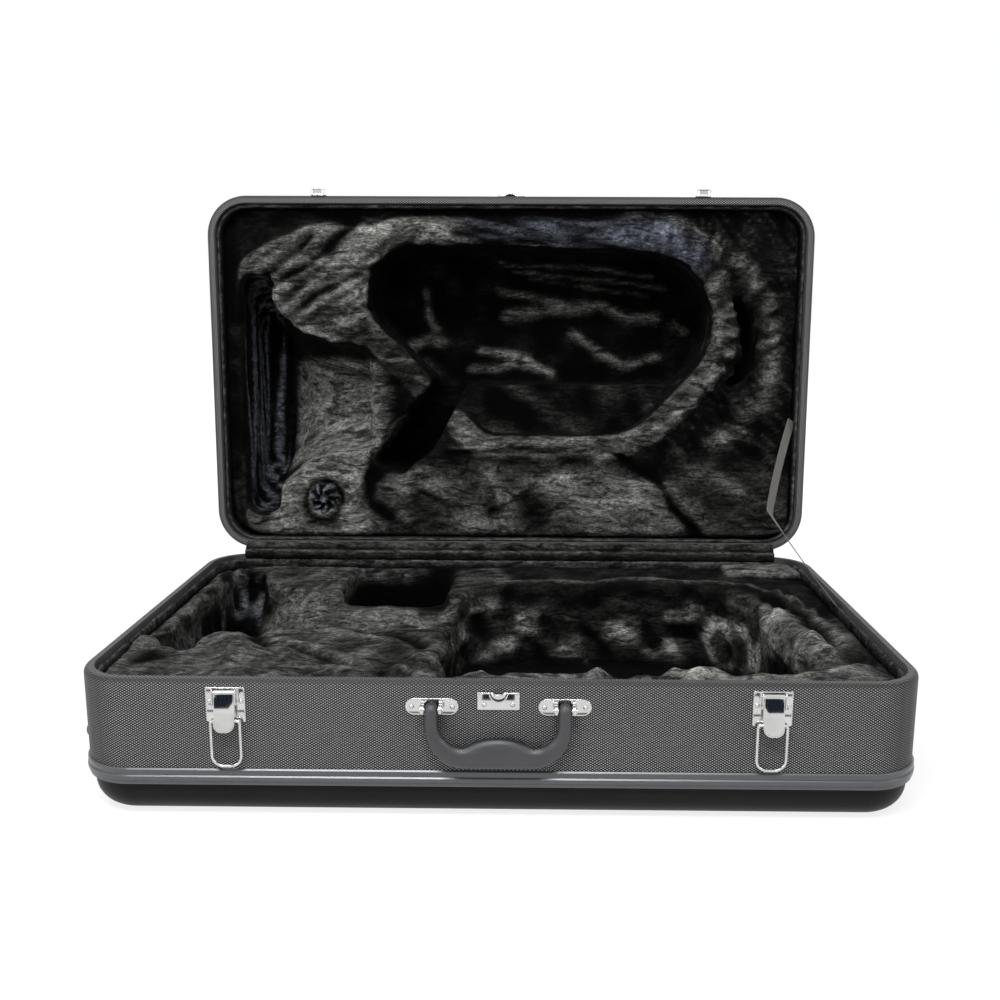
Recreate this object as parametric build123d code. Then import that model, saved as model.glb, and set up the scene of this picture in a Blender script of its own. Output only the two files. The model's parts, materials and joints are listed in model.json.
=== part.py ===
from build123d import *
from math import cos, radians, sin
import os

# Case: X runs along the front, Y from the front to the hinge, Z up. All sizes are in millimetres.
# The lid is drawn closed, then turned back on its hinges to where it stands open.
case_width = 842
case_depth = 496
corner_radius = 55
base_height = 147
lid_height = 160
rim_gap = 0.6
lid_angle = 92.3

# Walls, tray and trim of both halves
wall_thickness = 11
rim_radius = 6
rim_inner_radius = 1.5
tray_height = 38
tray_inset = 4
tray_thickness = 3
tray_edge_radius = 30
trim_height = 17
trim_thickness = 2.0
trim_ledge = 3.4
trim_bead_height = 6.6
trim_bead_bulge = 0.6
trim_groove_height = 1.2
trim_groove_depth = 0.9
trim_chamfer = 1.3

# Lining: a floor pad, a plush sleeve round the walls and foam blocks with the instrument's hollows
sleeve_gap = 0.3
sleeve_thickness = 4
sleeve_drop = 6
pad_thickness = 8
block_inset = 16
block_gap = 1.0
base_face_drop = 14
lid_face_drop = 9
arch_rise = 12
soft_edge = 7
hollow_floor = 16

# The bell lies along X between both halves. Places up the open lid are measured from its hinge edge.
bell_center = 29
flare_left = -381
flare_right = -333
flare_radius = 172
flare_corner = 16
cone_profile = [(-333, 130), (-296, 96), (-258, 80), (-195, 73)]
throat_end = -60
throat_radius = 66

# Hollow for the body in the lid: a well with one round side, a shelf, a diagonal slot and a crescent slot
lid_well = [(-135, 365, 68), (185, 325, 100), (130, 265, 100), (-18, 200, 36)]
shelf_line = 236
shelf_depth = 42
well_floor = 20
arch_width = 36
slot_corners = [(-88, 268), (-58, 244), (-112, 140), (-152, 104), (-204, 120), (-170, 176)]
slot_corner_radius = 14
slot_floor = 36
crescent_outer = (256, 297, 97)
crescent_inner = (240, 299, 90)
crescent_band = (234, 360)
crescent_floor = 60
bell_pad_outline = [(-384, 20), (-384, 405), (-360, 424), (-290, 455), (-150, 465), (40, 470), (40, 20)]
bell_pad_corner = 24
lid_split = -205
tuft_pad_top = 126
lower_pad_top = 98
lower_pad_seams = (-20, 180)

# Tuft pad and its button
tuft_left = 92 - case_width / 2
tuft_x = tuft_left + 58
tuft_up = 71
tuft_radius = 26
tuft_depth = 9
button_radius = 11
button_height = 6

# Hollows in the base
base_well = [(0, 66, 64), (205, 20, 118), (245, -115, 82), (-20, -135, 66)]
base_well_floor = 22
base_split = -225
pocket_left = -215
pocket_right = -76
pocket_front = 112
pocket_back = 226
pocket_corner = 14
pocket_front_drop = 22
corner_pad_left = case_width / 2 - 121
corner_pad_front = 186
corner_pad_rise = 7
end_pad_rise = 4
end_pad_from_bell = 150

# Hinges: three, each with a knuckle in the middle on the lid and one at each side on the base
hinge_places = [-265, 0, 265]
hinge_offset = 4.5
hinge_width = 50
hinge_leaf = 28
hinge_barrel = 3.4
hinge_pin_radius = 1.5
hinge_middle = 17.4
hinge_play = 0.3
stop_start = 4.2
stop_length = 14
stop_width = 40

# Pressed plates and rivets
sheet = 1.2
rivet_radius = 2.6
rivet_height = 1.5
rivet_shank = 1.5
fit = 0.05

# Latches
latch_spacing = 530
latch_width = 38
latch_top = base_height - 6.6
latch_height = 36.4
latch_lip = 3.2
lever_width = 20.4
lever_sheet = 1.4
lever_pivot_out = 4.8
lever_pivot_z = base_height - 11.4
lever_barrel = 2.6
lever_bend_z = base_height - 31
lever_tip_z = base_height - 49.5
lever_tip_out = 12.5
lever_flange_back = 2.0
cheek_gap = 0.4
cheek_thickness = 1.2
cheek_drop = 13
cheek_out = 8
pin_radius = 1.5
latch_rivet_x = 15.2
latch_rivet_z = base_height - 21.5

# Wire bails
bail_wire = 1.5
bail_pivot_out = 5.2
bail_pivot_z = base_height - 40.5
bail_half = 14.3
bail_length = 46.5
bail_end_radius = 11
bail_bend = 2.6

# Catches on the lid
catch_half = 10.2
catch_plate_top = base_height + 24
catch_reach = 9.6
catch_lip_height = 4.2
catch_lip_half = 8.6
catch_rest_z = base_height + 1
catch_play = 0.3
catch_rivet_x = 5.6
catch_rivet_z = base_height + 18

# Centre plates
plate_width = 41
plate_top = base_height - 10
plate_height = 18.6
plate_lip = 3
dome_radius = 8.8
dome_out = 5.2
plate_rivet_x = 13.8
plate_rivet_z = base_height - 22.8

# Handles and their posts
handle_z = base_height - 25.4
handle_pivot_out = 9.2
post_spacing = 129
post_length = 51.5
post_height = 17
post_rivet = 19.8
ear_gap = 0.5
ear_thickness = 3.4
ear_radius = 5
handle_leg = 13
handle_thickness = 13
handle_drop = 59.3
handle_outer_radius = 40
handle_grip = 20.4
handle_inner_radius = 25
handle_edge = 5
swell_height = 9
swell_thickness = 9
handle_pin = 2.0
pin_head = 3.1
pin_head_height = 1.2
end_handle_y = -59

# Feet on the left end and on the spine
foot_radius = 9
foot_top_radius = 6.5
foot_height = 11
foot_chamfer = 1.5
foot_z = tray_height + trim_height + foot_radius + 1
end_foot_y = 180
spine_foot_x = 320

# Stay strap on the right: it hangs slack and folds at one point
strap_width = 15
strap_thickness = 1.2
strap_low = (case_width / 2 - wall_thickness - 5, 14, base_height - 6)
strap_fold = (case_width / 2 - wall_thickness - 50, 202, base_height + 73)
strap_high_x = case_width / 2 - wall_thickness - 8
strap_high_up = 188
strap_high_deep = 14

# Plush strip over the hinge line
strip_half = 345
strip_thickness = 1.6
strip_gap = 0.4
strip_reach = 12

front_y = -case_depth / 2
hinge_y = case_depth / 2 + hinge_offset
seam_z = base_height + rim_gap / 2
closed_height = base_height + rim_gap + lid_height
bell_axis_z = closed_height / 2
lining_floor = tray_thickness + pad_thickness
parts = {}


def outline(offset):
    width = case_width + 2 * offset
    depth = case_depth + 2 * offset
    return RectangleRounded(width, depth, corner_radius + offset)


def slab(sketch, low, high):
    return Pos(0, 0, low) * extrude(sketch, high - low)


def ring(outer, inner, low, high):
    return slab(outline(outer) - outline(inner), low, high)


def block(x0, x1, y0, y1, z0, z1):
    return Pos(x0, y0, z0) * Box(x1 - x0, y1 - y0, z1 - z0, align=(Align.MIN, Align.MIN, Align.MIN))


def edges_at(shape, height):
    return shape.edges().filter_by_position(Axis.Z, height - 0.01, height + 0.01)


def up_lid(up):
    """Place in Y of a point that lies this far up the open lid from its hinge edge."""
    return case_depth / 2 - up


def to_lid(shape):
    """Turns a dish drawn like the base, floor down, over onto the base as its lid."""
    return Pos(0, 0, closed_height) * mirror(shape, Plane.XY)


def opened(shape):
    """Turns a piece of the closed lid back on the hinges to where it rests."""
    return shape.rotate(Axis((0, hinge_y, seam_z), (1, 0, 0)), -lid_angle)


def on_front(shape, x=0):
    """Puts hardware drawn round x = 0 with its wall at y = 0 on the front wall."""
    return Pos(x, front_y, 0) * shape


def on_right(shape, y):
    return Pos(case_width / 2, y, 0) * Rot(0, 0, 90) * shape


def keep(name, shape):
    solids = [s for piece in (shape if isinstance(shape, list) else [shape]) for s in piece.solids()]
    parts[name] = solids[0] if len(solids) == 1 else Compound(children=solids)


def hull(circles):
    """Smooth outline round circles given as x, y and radius."""
    edges = [e for x, y, r in circles for e in (Pos(x, y) * Circle(r)).edges()]
    return make_hull(edges)


def lid_circles(circles, grow=0):
    return [(x, up_lid(up), r + grow) for x, up, r in circles]


def rounded_outline(points, radius):
    face = make_face(Polyline(*points, close=True))
    return fillet(face.vertices(), radius)


# Shell


def tray():
    outside = slab(outline(-tray_inset), 0, tray_height)
    outside = fillet(edges_at(outside, 0), tray_edge_radius)
    inside = slab(outline(-tray_inset - tray_thickness), tray_thickness, tray_height)
    inside = fillet(edges_at(inside, tray_thickness), tray_edge_radius - tray_thickness)
    return outside - inside


def wall_band(height):
    band = ring(0, -wall_thickness, tray_height + trim_ledge, height)
    top = band.faces().sort_by(Axis.Z)[-1]
    band = fillet(top.outer_wire().edges(), rim_radius)
    top = band.faces().sort_by(Axis.Z)[-1]
    return fillet(top.inner_wires()[0].edges(), rim_inner_radius)


def trim():
    """Extrusion round the seam: ledge under the wall, lip, bead, groove and flange."""
    ledge_top = tray_height + trim_ledge
    bead_top = ledge_top + trim_bead_height
    groove_top = bead_top + trim_groove_height
    top = tray_height + trim_height
    ledge = ring(trim_thickness - trim_groove_depth, -wall_thickness, tray_height, ledge_top)
    bead = ring(trim_thickness + trim_bead_bulge, 0, ledge_top, bead_top)
    bead = chamfer(bead.faces().sort_by(Axis.Z)[-1].outer_wire().edges(), trim_chamfer)
    bead = chamfer(bead.faces().sort_by(Axis.Z)[0].outer_wire().edges(), trim_chamfer)
    groove = ring(trim_thickness - trim_groove_depth, 0, bead_top, groove_top)
    flange = ring(trim_thickness, 0, groove_top, top)
    flange = chamfer(flange.faces().sort_by(Axis.Z)[-1].outer_wire().edges(), trim_chamfer)
    return ledge + bead + groove + flange


def foot():
    """Glide foot that stands out of a wall at y = 0 towards the front."""
    body = Cone(foot_radius, foot_top_radius, foot_height, align=(Align.CENTER, Align.CENTER, Align.MIN))
    body = chamfer(body.edges().sort_by(Axis.Z)[-1], foot_chamfer)
    return Pos(0, 0, foot_z) * Rot(90, 0, 0) * body


def left_feet():
    turned = Rot(0, 0, -90) * foot()
    return [Pos(-case_width / 2, y, 0) * turned for y in (-end_foot_y, end_foot_y)]


def spine_feet():
    turned = Rot(0, 0, 180) * foot()
    return [Pos(x, case_depth / 2, 0) * turned for x in (-spine_foot_x, spine_foot_x)]


# Hinges


def knuckles(middle):
    reach = hinge_middle / 2
    if middle:
        spans = [(-reach + hinge_play / 2, reach - hinge_play / 2)]
    else:
        spans = [(-hinge_width / 2, -reach - hinge_play / 2), (reach + hinge_play / 2, hinge_width / 2)]
    return spans


def leaf_under(middle):
    """Hinge leaf hanging down from a pin at y = 0, z = 0, with its knuckles and its half of the stop."""
    back = -hinge_offset
    leaf = block(-hinge_width / 2, hinge_width / 2, back, back + sheet, -hinge_leaf, 0)
    gap = hinge_barrel + 2 * hinge_play
    for low, high in knuckles(not middle):
        leaf -= block(low - hinge_play, high + hinge_play, back - 1, back + sheet + 1, -gap, 1)
    half = radians(lid_angle / 2)
    stop = block(-stop_width / 2, stop_width / 2, stop_start, stop_length, -sheet, 0)
    for low, high in knuckles(middle):
        barrel = Pos((low + high) / 2, 0, 0) * Rot(0, 90, 0) * Cylinder(hinge_barrel, high - low)
        leaf += barrel
        neck_low = max(low, -stop_width / 2)
        neck_high = min(high, stop_width / 2)
        stop += block(neck_low, neck_high, hinge_pin_radius, stop_start, -sheet, 0)
    stop = Pos(0, hinge_play / 2 * sin(half) * -1, -hinge_play / 2 * cos(half)) * Rot(-lid_angle / 2, 0, 0) * stop
    leaf += stop
    for x in (-hinge_width / 3, hinge_width / 3):
        leaf -= Pos(x, back, -hinge_leaf * 0.6) * Rot(90, 0, 0) * Cylinder(rivet_shank + fit, 4 * sheet)
    return leaf - Rot(0, 90, 0) * Cylinder(hinge_pin_radius + fit, hinge_width + 2)


def hinge_rivets():
    return [Pos(x, -hinge_offset, -hinge_leaf * 0.6) * Rot(0, 0, 180) * rivet()
            for x in (-hinge_width / 3, hinge_width / 3)]


def hinge_pin():
    return Rot(0, 90, 0) * Cylinder(hinge_pin_radius, hinge_width + 2)


def at_hinges(shapes):
    shapes = shapes if isinstance(shapes, list) else [shapes]
    return [Pos(x, hinge_y, seam_z) * s for x in hinge_places for s in shapes]


# Hardware on the front wall, drawn with the wall at y = 0 and standing out towards -Y


def rivet():
    """Rivet through a pressed plate on a wall at y = 0, with its domed head."""
    ball = (rivet_radius ** 2 + rivet_height ** 2) / (2 * rivet_height)
    head = Pos(0, 0, sheet + rivet_height - ball) * Sphere(ball)
    head &= Pos(0, 0, sheet) * Cylinder(ball, ball, align=(Align.CENTER, Align.CENTER, Align.MIN))
    shank = Cylinder(rivet_shank, sheet, align=(Align.CENTER, Align.CENTER, Align.MIN))
    return Rot(90, 0, 0) * (head + shank)


def pressed_plate(width, low, high, corner, holes):
    """Flat plate on the wall with holes for its rivets."""
    face = Pos(0, (low + high) / 2) * RectangleRounded(width, high - low, corner)
    for x, z in holes:
        face -= Pos(x, z) * Circle(rivet_shank + fit)
    return extrude(Plane.XZ * face, sheet)


def profile(points):
    """Face in the plane of Y and Z from points given as distance out of the wall and height."""
    return Plane.YZ * make_face(Polyline(*[(-out, z) for out, z in points], close=True))


def across(face, width):
    """Extrudes a profile to both sides of x = 0."""
    return extrude(face, width / 2, both=True)


def latch_plate():
    holes = [(-latch_rivet_x, latch_rivet_z), (latch_rivet_x, latch_rivet_z)]
    plate = pressed_plate(latch_width, latch_top - latch_height, latch_top, 2, holes)
    plate += block(-latch_width / 2 + 2, latch_width / 2 - 2, -latch_lip, 0, latch_top - sheet, latch_top)
    inner = lever_width / 2 + cheek_gap
    low = lever_pivot_z - cheek_drop
    high = latch_top - sheet / 2
    cheek = block(inner, inner + cheek_thickness, -cheek_out, 0, low, high)
    cheek = fillet(cheek.edges().filter_by(Axis.X).sort_by(Axis.Y)[:2], 3)
    plate += cheek + mirror(cheek, Plane.YZ)
    bore = Pos(0, -lever_pivot_out, lever_pivot_z) * Rot(0, 90, 0) * Cylinder(pin_radius + fit, latch_width)
    return plate - bore


def latch_pin():
    length = lever_width + 2 * cheek_gap + 2 * cheek_thickness + 0.8
    return Pos(0, -lever_pivot_out, lever_pivot_z) * Rot(0, 90, 0) * Cylinder(pin_radius, length)


def latch_rivets():
    return [Pos(x, 0, latch_rivet_z) * rivet() for x in (-latch_rivet_x, latch_rivet_x)]


def lever():
    """Lever with its barrel, flat face, thumb tab and two side flanges that carry the bail."""
    out = lever_pivot_out + lever_barrel
    skin = [(out, lever_pivot_z), (out, lever_bend_z), (lever_tip_out, lever_tip_z)]
    skin += [(lever_tip_out - lever_sheet, lever_tip_z), (out - lever_sheet, lever_bend_z - 1)]
    skin += [(out - lever_sheet, lever_pivot_z)]
    plate = across(profile(skin), lever_width)
    face = Pos(0, lever_tip_z) * Rectangle(lever_width, 60, align=(Align.CENTER, Align.MIN))
    face = fillet(face.vertices().sort_by(Axis.Y)[:2], 8)
    plate &= extrude(Plane.XZ * face, 40)
    barrel = Pos(0, -lever_pivot_out, lever_pivot_z) * Rot(0, 90, 0) * Cylinder(lever_barrel, lever_width)
    side = [(out - 0.4, lever_pivot_z - 2), (out - 0.4, lever_bend_z), (bail_pivot_out + 3.8, bail_pivot_z)]
    side += [(bail_pivot_out + 2.6, bail_pivot_z - 3.2), (lever_flange_back, bail_pivot_z - 3.2)]
    side += [(lever_flange_back, bail_pivot_z + 4), (lever_pivot_out - 0.6, bail_pivot_z + 12)]
    side += [(lever_pivot_out - 0.6, lever_pivot_z - 2)]
    flanges = across(profile(side), lever_width) - across(profile(side), lever_width - 2 * sheet)
    bore = Pos(0, -bail_pivot_out, bail_pivot_z) * Rot(0, 90, 0) * Cylinder(bail_wire + fit, latch_width)
    pin = Pos(0, -lever_pivot_out, lever_pivot_z) * Rot(0, 90, 0) * Cylinder(pin_radius + fit, latch_width)
    return plate + barrel + flanges - bore - pin


def bail():
    """Wire loop hanging from the lever: its two ends turn in through the flanges."""
    end = bail_pivot_z - bail_length
    inner = lever_width / 2 - sheet - 0.8
    points = [(-inner, bail_pivot_z), (-bail_half, bail_pivot_z), (-bail_half, end)]
    points += [(bail_half, end), (bail_half, bail_pivot_z), (inner, bail_pivot_z)]
    wire = FilletPolyline(*points, radius=[bail_bend, bail_end_radius, bail_end_radius, bail_bend])
    path = Pos(0, -bail_pivot_out, 0) * (Plane.XZ * wire)
    start = Plane(origin=path @ 0, z_dir=path % 0)
    return sweep(start * Circle(bail_wire), path=path)


def catch():
    """Catch on the lid: a plate, an arched arm that fits inside the bail's end, and a lip that holds it."""
    crown = bail_pivot_z + bail_length
    middle = bail_half - bail_end_radius
    center_z = crown - bail_end_radius
    arch = bail_end_radius - bail_wire - catch_play
    face = hull([(-middle, center_z, arch), (middle, center_z, arch)])
    face -= hull([(-middle, center_z, arch - sheet), (middle, center_z, arch - sheet)])
    face &= Pos(0, catch_rest_z) * Rectangle(2 * catch_half, 40, align=(Align.CENTER, Align.MIN))
    arm = extrude(Plane.XZ * face, catch_reach)
    arm -= block(-5.6, 5.6, -3.6, -sheet, catch_rest_z, crown)
    lip = hull([(-middle, center_z, arch), (middle, center_z, arch)])
    lip += Pos(0, center_z) * Rectangle(2 * catch_lip_half, arch + catch_lip_height, align=(Align.CENTER, Align.MIN))
    lip &= Pos(0, catch_rest_z) * Rectangle(2 * catch_half, 40, align=(Align.CENTER, Align.MIN))
    lip = Pos(0, -catch_reach, 0) * extrude(Plane.XZ * lip, -sheet)
    holes = [(-catch_rivet_x, catch_rivet_z), (catch_rivet_x, catch_rivet_z)]
    plate = pressed_plate(2 * catch_half, catch_rest_z + 1, catch_plate_top, 1, holes)
    return arm + lip + plate


def catch_rivets():
    return [Pos(x, 0, catch_rivet_z) * rivet() for x in (-catch_rivet_x, catch_rivet_x)]


def centre_plate():
    """Pressed plate with a folded top edge and half a dome, open at its top."""
    holes = [(-plate_rivet_x, plate_rivet_z), (plate_rivet_x, plate_rivet_z)]
    plate = pressed_plate(plate_width, plate_top - plate_height, plate_top, 1.5, holes)
    plate += block(-plate_width / 2 + 2, plate_width / 2 - 2, -plate_lip, 0, plate_top - sheet, plate_top)
    rise = dome_out - sheet
    ball = (dome_radius ** 2 + rise ** 2) / (2 * rise)
    top = plate_top - sheet
    half = block(-20, 20, -20, -sheet / 2, top - 20, top)
    dome = Pos(0, -dome_out + ball, top) * Sphere(ball) & half
    hollow = Pos(0, -dome_out + ball, top) * Sphere(ball - sheet) & block(-20, 20, -20, 0, top - 20, plate_top)
    return plate + dome - hollow


def centre_rivets():
    return [Pos(x, 0, plate_rivet_z) * rivet() for x in (-plate_rivet_x, plate_rivet_x)]


# Handles


def handle_outline():
    """Half outlines of the grip, mirrored: legs, round corners and the grip between them."""
    outer = post_spacing / 2 + handle_leg / 2
    inner = post_spacing / 2 - handle_leg / 2
    top = handle_leg / 2
    low = -handle_drop
    high = -handle_drop + handle_grip
    with_legs = [(-outer, top), (-outer, low), (outer, low), (outer, top)]
    opening = [(-inner, top + 1), (-inner, high), (inner, high), (inner, top + 1)]
    body = make_face(Polyline(*with_legs, close=True))
    body = fillet(body.vertices().sort_by(Axis.Y)[:2], handle_outer_radius)
    hole = make_face(Polyline(*opening, close=True))
    hole = fillet(hole.vertices().sort_by(Axis.Y)[:2], handle_inner_radius)
    body -= hole
    return fillet(body.vertices().sort_by(Axis.Y)[-4:], handle_leg / 2 - 0.6)


def swell_outline():
    high = -handle_drop + handle_grip
    half = post_spacing / 2 - handle_leg / 2 - handle_inner_radius
    crest = ThreePointArc((-half, high), (0, high + swell_height), (half, high))
    closing = Polyline((half, high), (half, high - handle_edge), (-half, high - handle_edge), (-half, high))
    return make_face([crest, closing])


def handle():
    """Moulded handle that hangs from its pins, with a thinner palm swell on the inside of the grip."""
    thick = handle_thickness / 2
    grip = extrude(Plane.XZ * handle_outline(), thick, both=True)
    flat = [e for y in (-thick, thick) for e in grip.edges().filter_by_position(Axis.Y, y - 0.01, y + 0.01)]
    grip = fillet(flat, handle_edge)
    swell = extrude(Plane.XZ * swell_outline(), swell_thickness / 2, both=True)
    grip += swell
    for x in (-post_spacing / 2, post_spacing / 2):
        grip -= Pos(x, 0, 0) * Rot(0, 90, 0) * Cylinder(handle_pin + fit, handle_leg + 2)
    return Pos(0, -handle_pivot_out, handle_z) * grip


def post():
    """Post plate with a rivet at each end and two ears that the handle's leg swings between."""
    face = SlotOverall(post_length, post_height)
    for x in (-post_rivet, post_rivet):
        face -= Pos(x, 0) * Circle(rivet_shank + fit)
    plate = extrude(Plane.XZ * face, sheet)
    inner = handle_leg / 2 + ear_gap
    side = Pos(handle_pivot_out, 0) * Circle(ear_radius)
    side += Rectangle(handle_pivot_out, 2 * ear_radius, align=(Align.MIN, Align.CENTER))
    side -= Pos(handle_pivot_out, 0) * Circle(handle_pin + fit)
    upright = Plane(origin=(inner + ear_thickness, 0, 0), x_dir=(0, -1, 0), z_dir=(-1, 0, 0))
    ear = extrude(upright * side, ear_thickness)
    return Pos(0, 0, handle_z) * (plate + ear + mirror(ear, Plane.YZ))


def post_pin():
    reach = handle_leg / 2 + ear_gap + ear_thickness
    pin = Cylinder(handle_pin, 2 * reach)
    for side in (-1, 1):
        pin += Pos(0, 0, side * (reach + pin_head_height / 2)) * Cylinder(pin_head, pin_head_height)
    return Pos(0, -handle_pivot_out, handle_z) * Rot(0, 90, 0) * pin


def at_posts(shapes):
    shapes = shapes if isinstance(shapes, list) else [shapes]
    return [Pos(x, 0, 0) * s for x in (-post_spacing / 2, post_spacing / 2) for s in shapes]


def post_rivets():
    return [Pos(x, 0, handle_z) * rivet() for x in (-post_rivet, post_rivet)]


# Lining, drawn in a dish with its floor down


def floor_pad():
    low = Pos(0, 0, tray_thickness) * outline(-tray_inset - tray_edge_radius)
    high = Pos(0, 0, lining_floor) * outline(-block_inset)
    return loft([low, high])


def sleeve(height):
    outer = -wall_thickness - sleeve_gap
    return ring(outer, outer - sleeve_thickness, tray_height - 1, height - sleeve_drop)


def bell_cutter():
    """Hollow for the bell: a flat disc for its flare and a revolved throat, about the bell's own axis."""
    points = [(x, 0) for x in (throat_end, cone_profile[0][0])]
    points += cone_profile + [(throat_end, throat_radius)]
    throat = make_face(Polyline(*points, close=True))
    throat = revolve(Plane.XZ * throat, Axis.X)
    width = flare_right - flare_left
    disc = Rot(0, 90, 0) * Cylinder(flare_radius, width)
    disc = Pos((flare_left + flare_right) / 2, 0, 0) * fillet(disc.edges().filter_by(GeomType.CIRCLE), flare_corner)
    cutter = Pos(0, bell_center, bell_axis_z) * (throat + disc)
    return cutter - block(-case_width, case_width, -case_depth, case_depth, -case_width, hollow_floor)


def left_part(x0, x1):
    return Pos(x0, -case_depth) * Rectangle(x1 - x0, 2 * case_depth, align=(Align.MIN, Align.MIN))


def strip_of(y0, y1):
    return Pos(-case_width, y0) * Rectangle(2 * case_width, y1 - y0, align=(Align.MIN, Align.MIN))


def base_bell_pad():
    top = base_height - base_face_drop
    plan = outline(-block_inset) & left_part(-case_width, base_split)
    pad = slab(plan, lining_floor, top)
    front = plan & strip_of(-case_depth, bell_center - end_pad_from_bell)
    pad += slab(front, top, top + end_pad_rise)
    return pad - bell_cutter()


def base_pocket_pad():
    """Block between bell and body: the throat passes in front of a deep pocket with a low front wall."""
    top = base_height - base_face_drop
    plan = outline(-block_inset) & left_part(base_split + block_gap, base_well_left() - block_gap)
    pad = slab(plan, lining_floor, top)
    x = (pocket_left + pocket_right) / 2
    y = (pocket_front + pocket_back) / 2
    size = RectangleRounded(pocket_right - pocket_left, pocket_back - pocket_front, pocket_corner)
    pad -= slab(Pos(x, y) * size, hollow_floor, top)
    low = block(pocket_left, pocket_right, bell_center, pocket_front + pocket_corner, top - pocket_front_drop, top)
    return pad - low - bell_cutter()


def base_well_left():
    return base_well[0][0] - base_well[0][2]


def base_body_pad():
    """Block round the hollow for the body and the branches."""
    top = base_height - base_face_drop
    plan = outline(-block_inset) & left_part(base_well_left(), case_width)
    pad = slab(plan, lining_floor, top)
    pad -= slab(hull(base_well), base_well_floor, top)
    return pad


def base_corner_pad():
    top = base_height - base_face_drop
    plan = outline(-block_inset) & left_part(corner_pad_left, case_width) & strip_of(corner_pad_front, case_depth)
    return slab(plan, top, top + corner_pad_rise)


def lid_face():
    return lid_height - lid_face_drop


def lid_bell_pad():
    plan = outline(-block_inset) & left_part(-case_width, lid_split)
    plan -= left_part(tuft_left - block_gap, case_width) & strip_of(up_lid(tuft_pad_top), case_depth)
    low = slab(plan, lining_floor, lid_face() - arch_rise)
    raised = rounded_outline([(x, up_lid(up)) for x, up in bell_pad_outline], bell_pad_corner)
    low += slab(raised & plan, lid_face() - arch_rise, lid_face())
    return low - bell_cutter()


def lid_tuft_pad():
    """Cushion at the lid's corner with a sewn tuft: a round dimple that holds the button."""
    plan = outline(-block_inset) & left_part(tuft_left, lid_split)
    plan &= strip_of(up_lid(tuft_pad_top) + block_gap, case_depth)
    pad = slab(plan, lining_floor, lid_face() - 2)
    pad = fillet(edges_at(pad, lid_face() - 2), soft_edge)
    ball = (tuft_radius ** 2 + tuft_depth ** 2) / (2 * tuft_depth)
    pad -= Pos(tuft_x, up_lid(tuft_up), lid_face() - 2 - tuft_depth + ball) * Sphere(ball)
    return pad - bell_cutter()


def tuft_button():
    button = Cylinder(button_radius, button_height, align=(Align.CENTER, Align.CENTER, Align.MIN))
    button = chamfer(button.edges().sort_by(Axis.Z)[-1], button_height / 2)
    seat = lid_face() - 2 - tuft_depth + button_radius ** 2 * tuft_depth / tuft_radius ** 2 + 0.1
    return Pos(tuft_x, up_lid(tuft_up), seat) * button


def lid_body_pad():
    """Block round the body's hollow: a raised arch follows the well, with a shelf and two slots beside it."""
    face = lid_face()
    low_face = face - arch_rise
    plan = outline(-block_inset) & left_part(lid_split + block_gap, case_width)
    plan &= strip_of(-case_depth, up_lid(lower_pad_top))
    pad = slab(plan, lining_floor, low_face)
    well = hull(lid_circles(lid_well))
    arch = hull(lid_circles(lid_well, arch_width)) & plan
    raised = slab(arch, low_face, face)
    raised = fillet(edges_at(raised, face), soft_edge)
    pad += raised
    deep = well & strip_of(-case_depth, up_lid(shelf_line))
    pad -= slab(well, face - shelf_depth, face)
    pad -= slab(deep, well_floor, face)
    slot = rounded_outline([(x, up_lid(up)) for x, up in slot_corners], slot_corner_radius)
    pad -= slab(slot, slot_floor, face)
    return pad - slab(crescent(), crescent_floor, face)


def crescent():
    x, up, r = crescent_outer
    face = Pos(x, up_lid(up)) * Circle(r)
    x, up, r = crescent_inner
    face -= Pos(x, up_lid(up)) * Circle(r)
    low, high = crescent_band
    band = strip_of(up_lid(high), up_lid(low)) & left_part(crescent_outer[0], case_width)
    return face & band


def lid_lower_pads():
    """Row of soft pads below the body's hollow, with drawn-in seams between them."""
    plan = outline(-block_inset) & left_part(lid_split + block_gap, case_width)
    plan &= strip_of(up_lid(lower_pad_top) + block_gap, case_depth)
    edges = [lid_split + block_gap, *lower_pad_seams, case_width / 2]
    pads = []
    for left, right in zip(edges[:-1], edges[1:]):
        pad = slab(plan & left_part(left, right - block_gap), lining_floor, lid_face())
        pads.append(fillet(edges_at(pad, lid_face()), 2 * soft_edge))
    return pads


# Strap and strip that bend with the lid


def run(start, end, side, overlap):
    """Flat band between two points, with its width along side."""
    along = Vector(*end) - Vector(*start)
    plane = Plane(origin=Vector(*start), x_dir=Vector(*side), z_dir=along)
    return extrude(plane * Rectangle(strap_width, strap_thickness), along.length + overlap)


def strap():
    deep = base_height + rim_gap + strap_high_deep
    high = opened(Vertex(strap_high_x, up_lid(strap_high_up), deep)).center()
    low = Vector(*strap_low)
    fold = Vector(*strap_fold)
    lower = run(low, fold, Vector(1, 0, 0).cross(fold - low), 0.5)
    upper = run(high, fold, Vector(1, 0, 0).cross(fold - high) + Vector(60, 0, 0), 0.5)
    return lower + upper


def hinge_strip():
    """Plush strip laid over the back rim and up the lid's rim, inside the hinge line."""
    back = case_depth / 2 + hinge_offset - hinge_barrel - strip_gap
    top = base_height + strip_gap
    low = block(-strip_half, strip_half, back - strip_reach, back, top, top + strip_thickness)
    high = block(-strip_half, strip_half, back - strip_thickness, back, top, top + 1.5 * strip_reach)
    return low + high


def build_shell():
    keep("base_tray", tray())
    keep("base_wall_band", wall_band(base_height))
    keep("base_trim", trim())
    keep("base_feet", left_feet() + spine_feet())
    keep("lid_tray", opened(to_lid(tray())))
    keep("lid_wall_band", opened(to_lid(wall_band(lid_height))))
    keep("lid_trim", opened(to_lid(trim())))
    keep("lid_feet", [opened(to_lid(s)) for s in left_feet() + spine_feet()])


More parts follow.
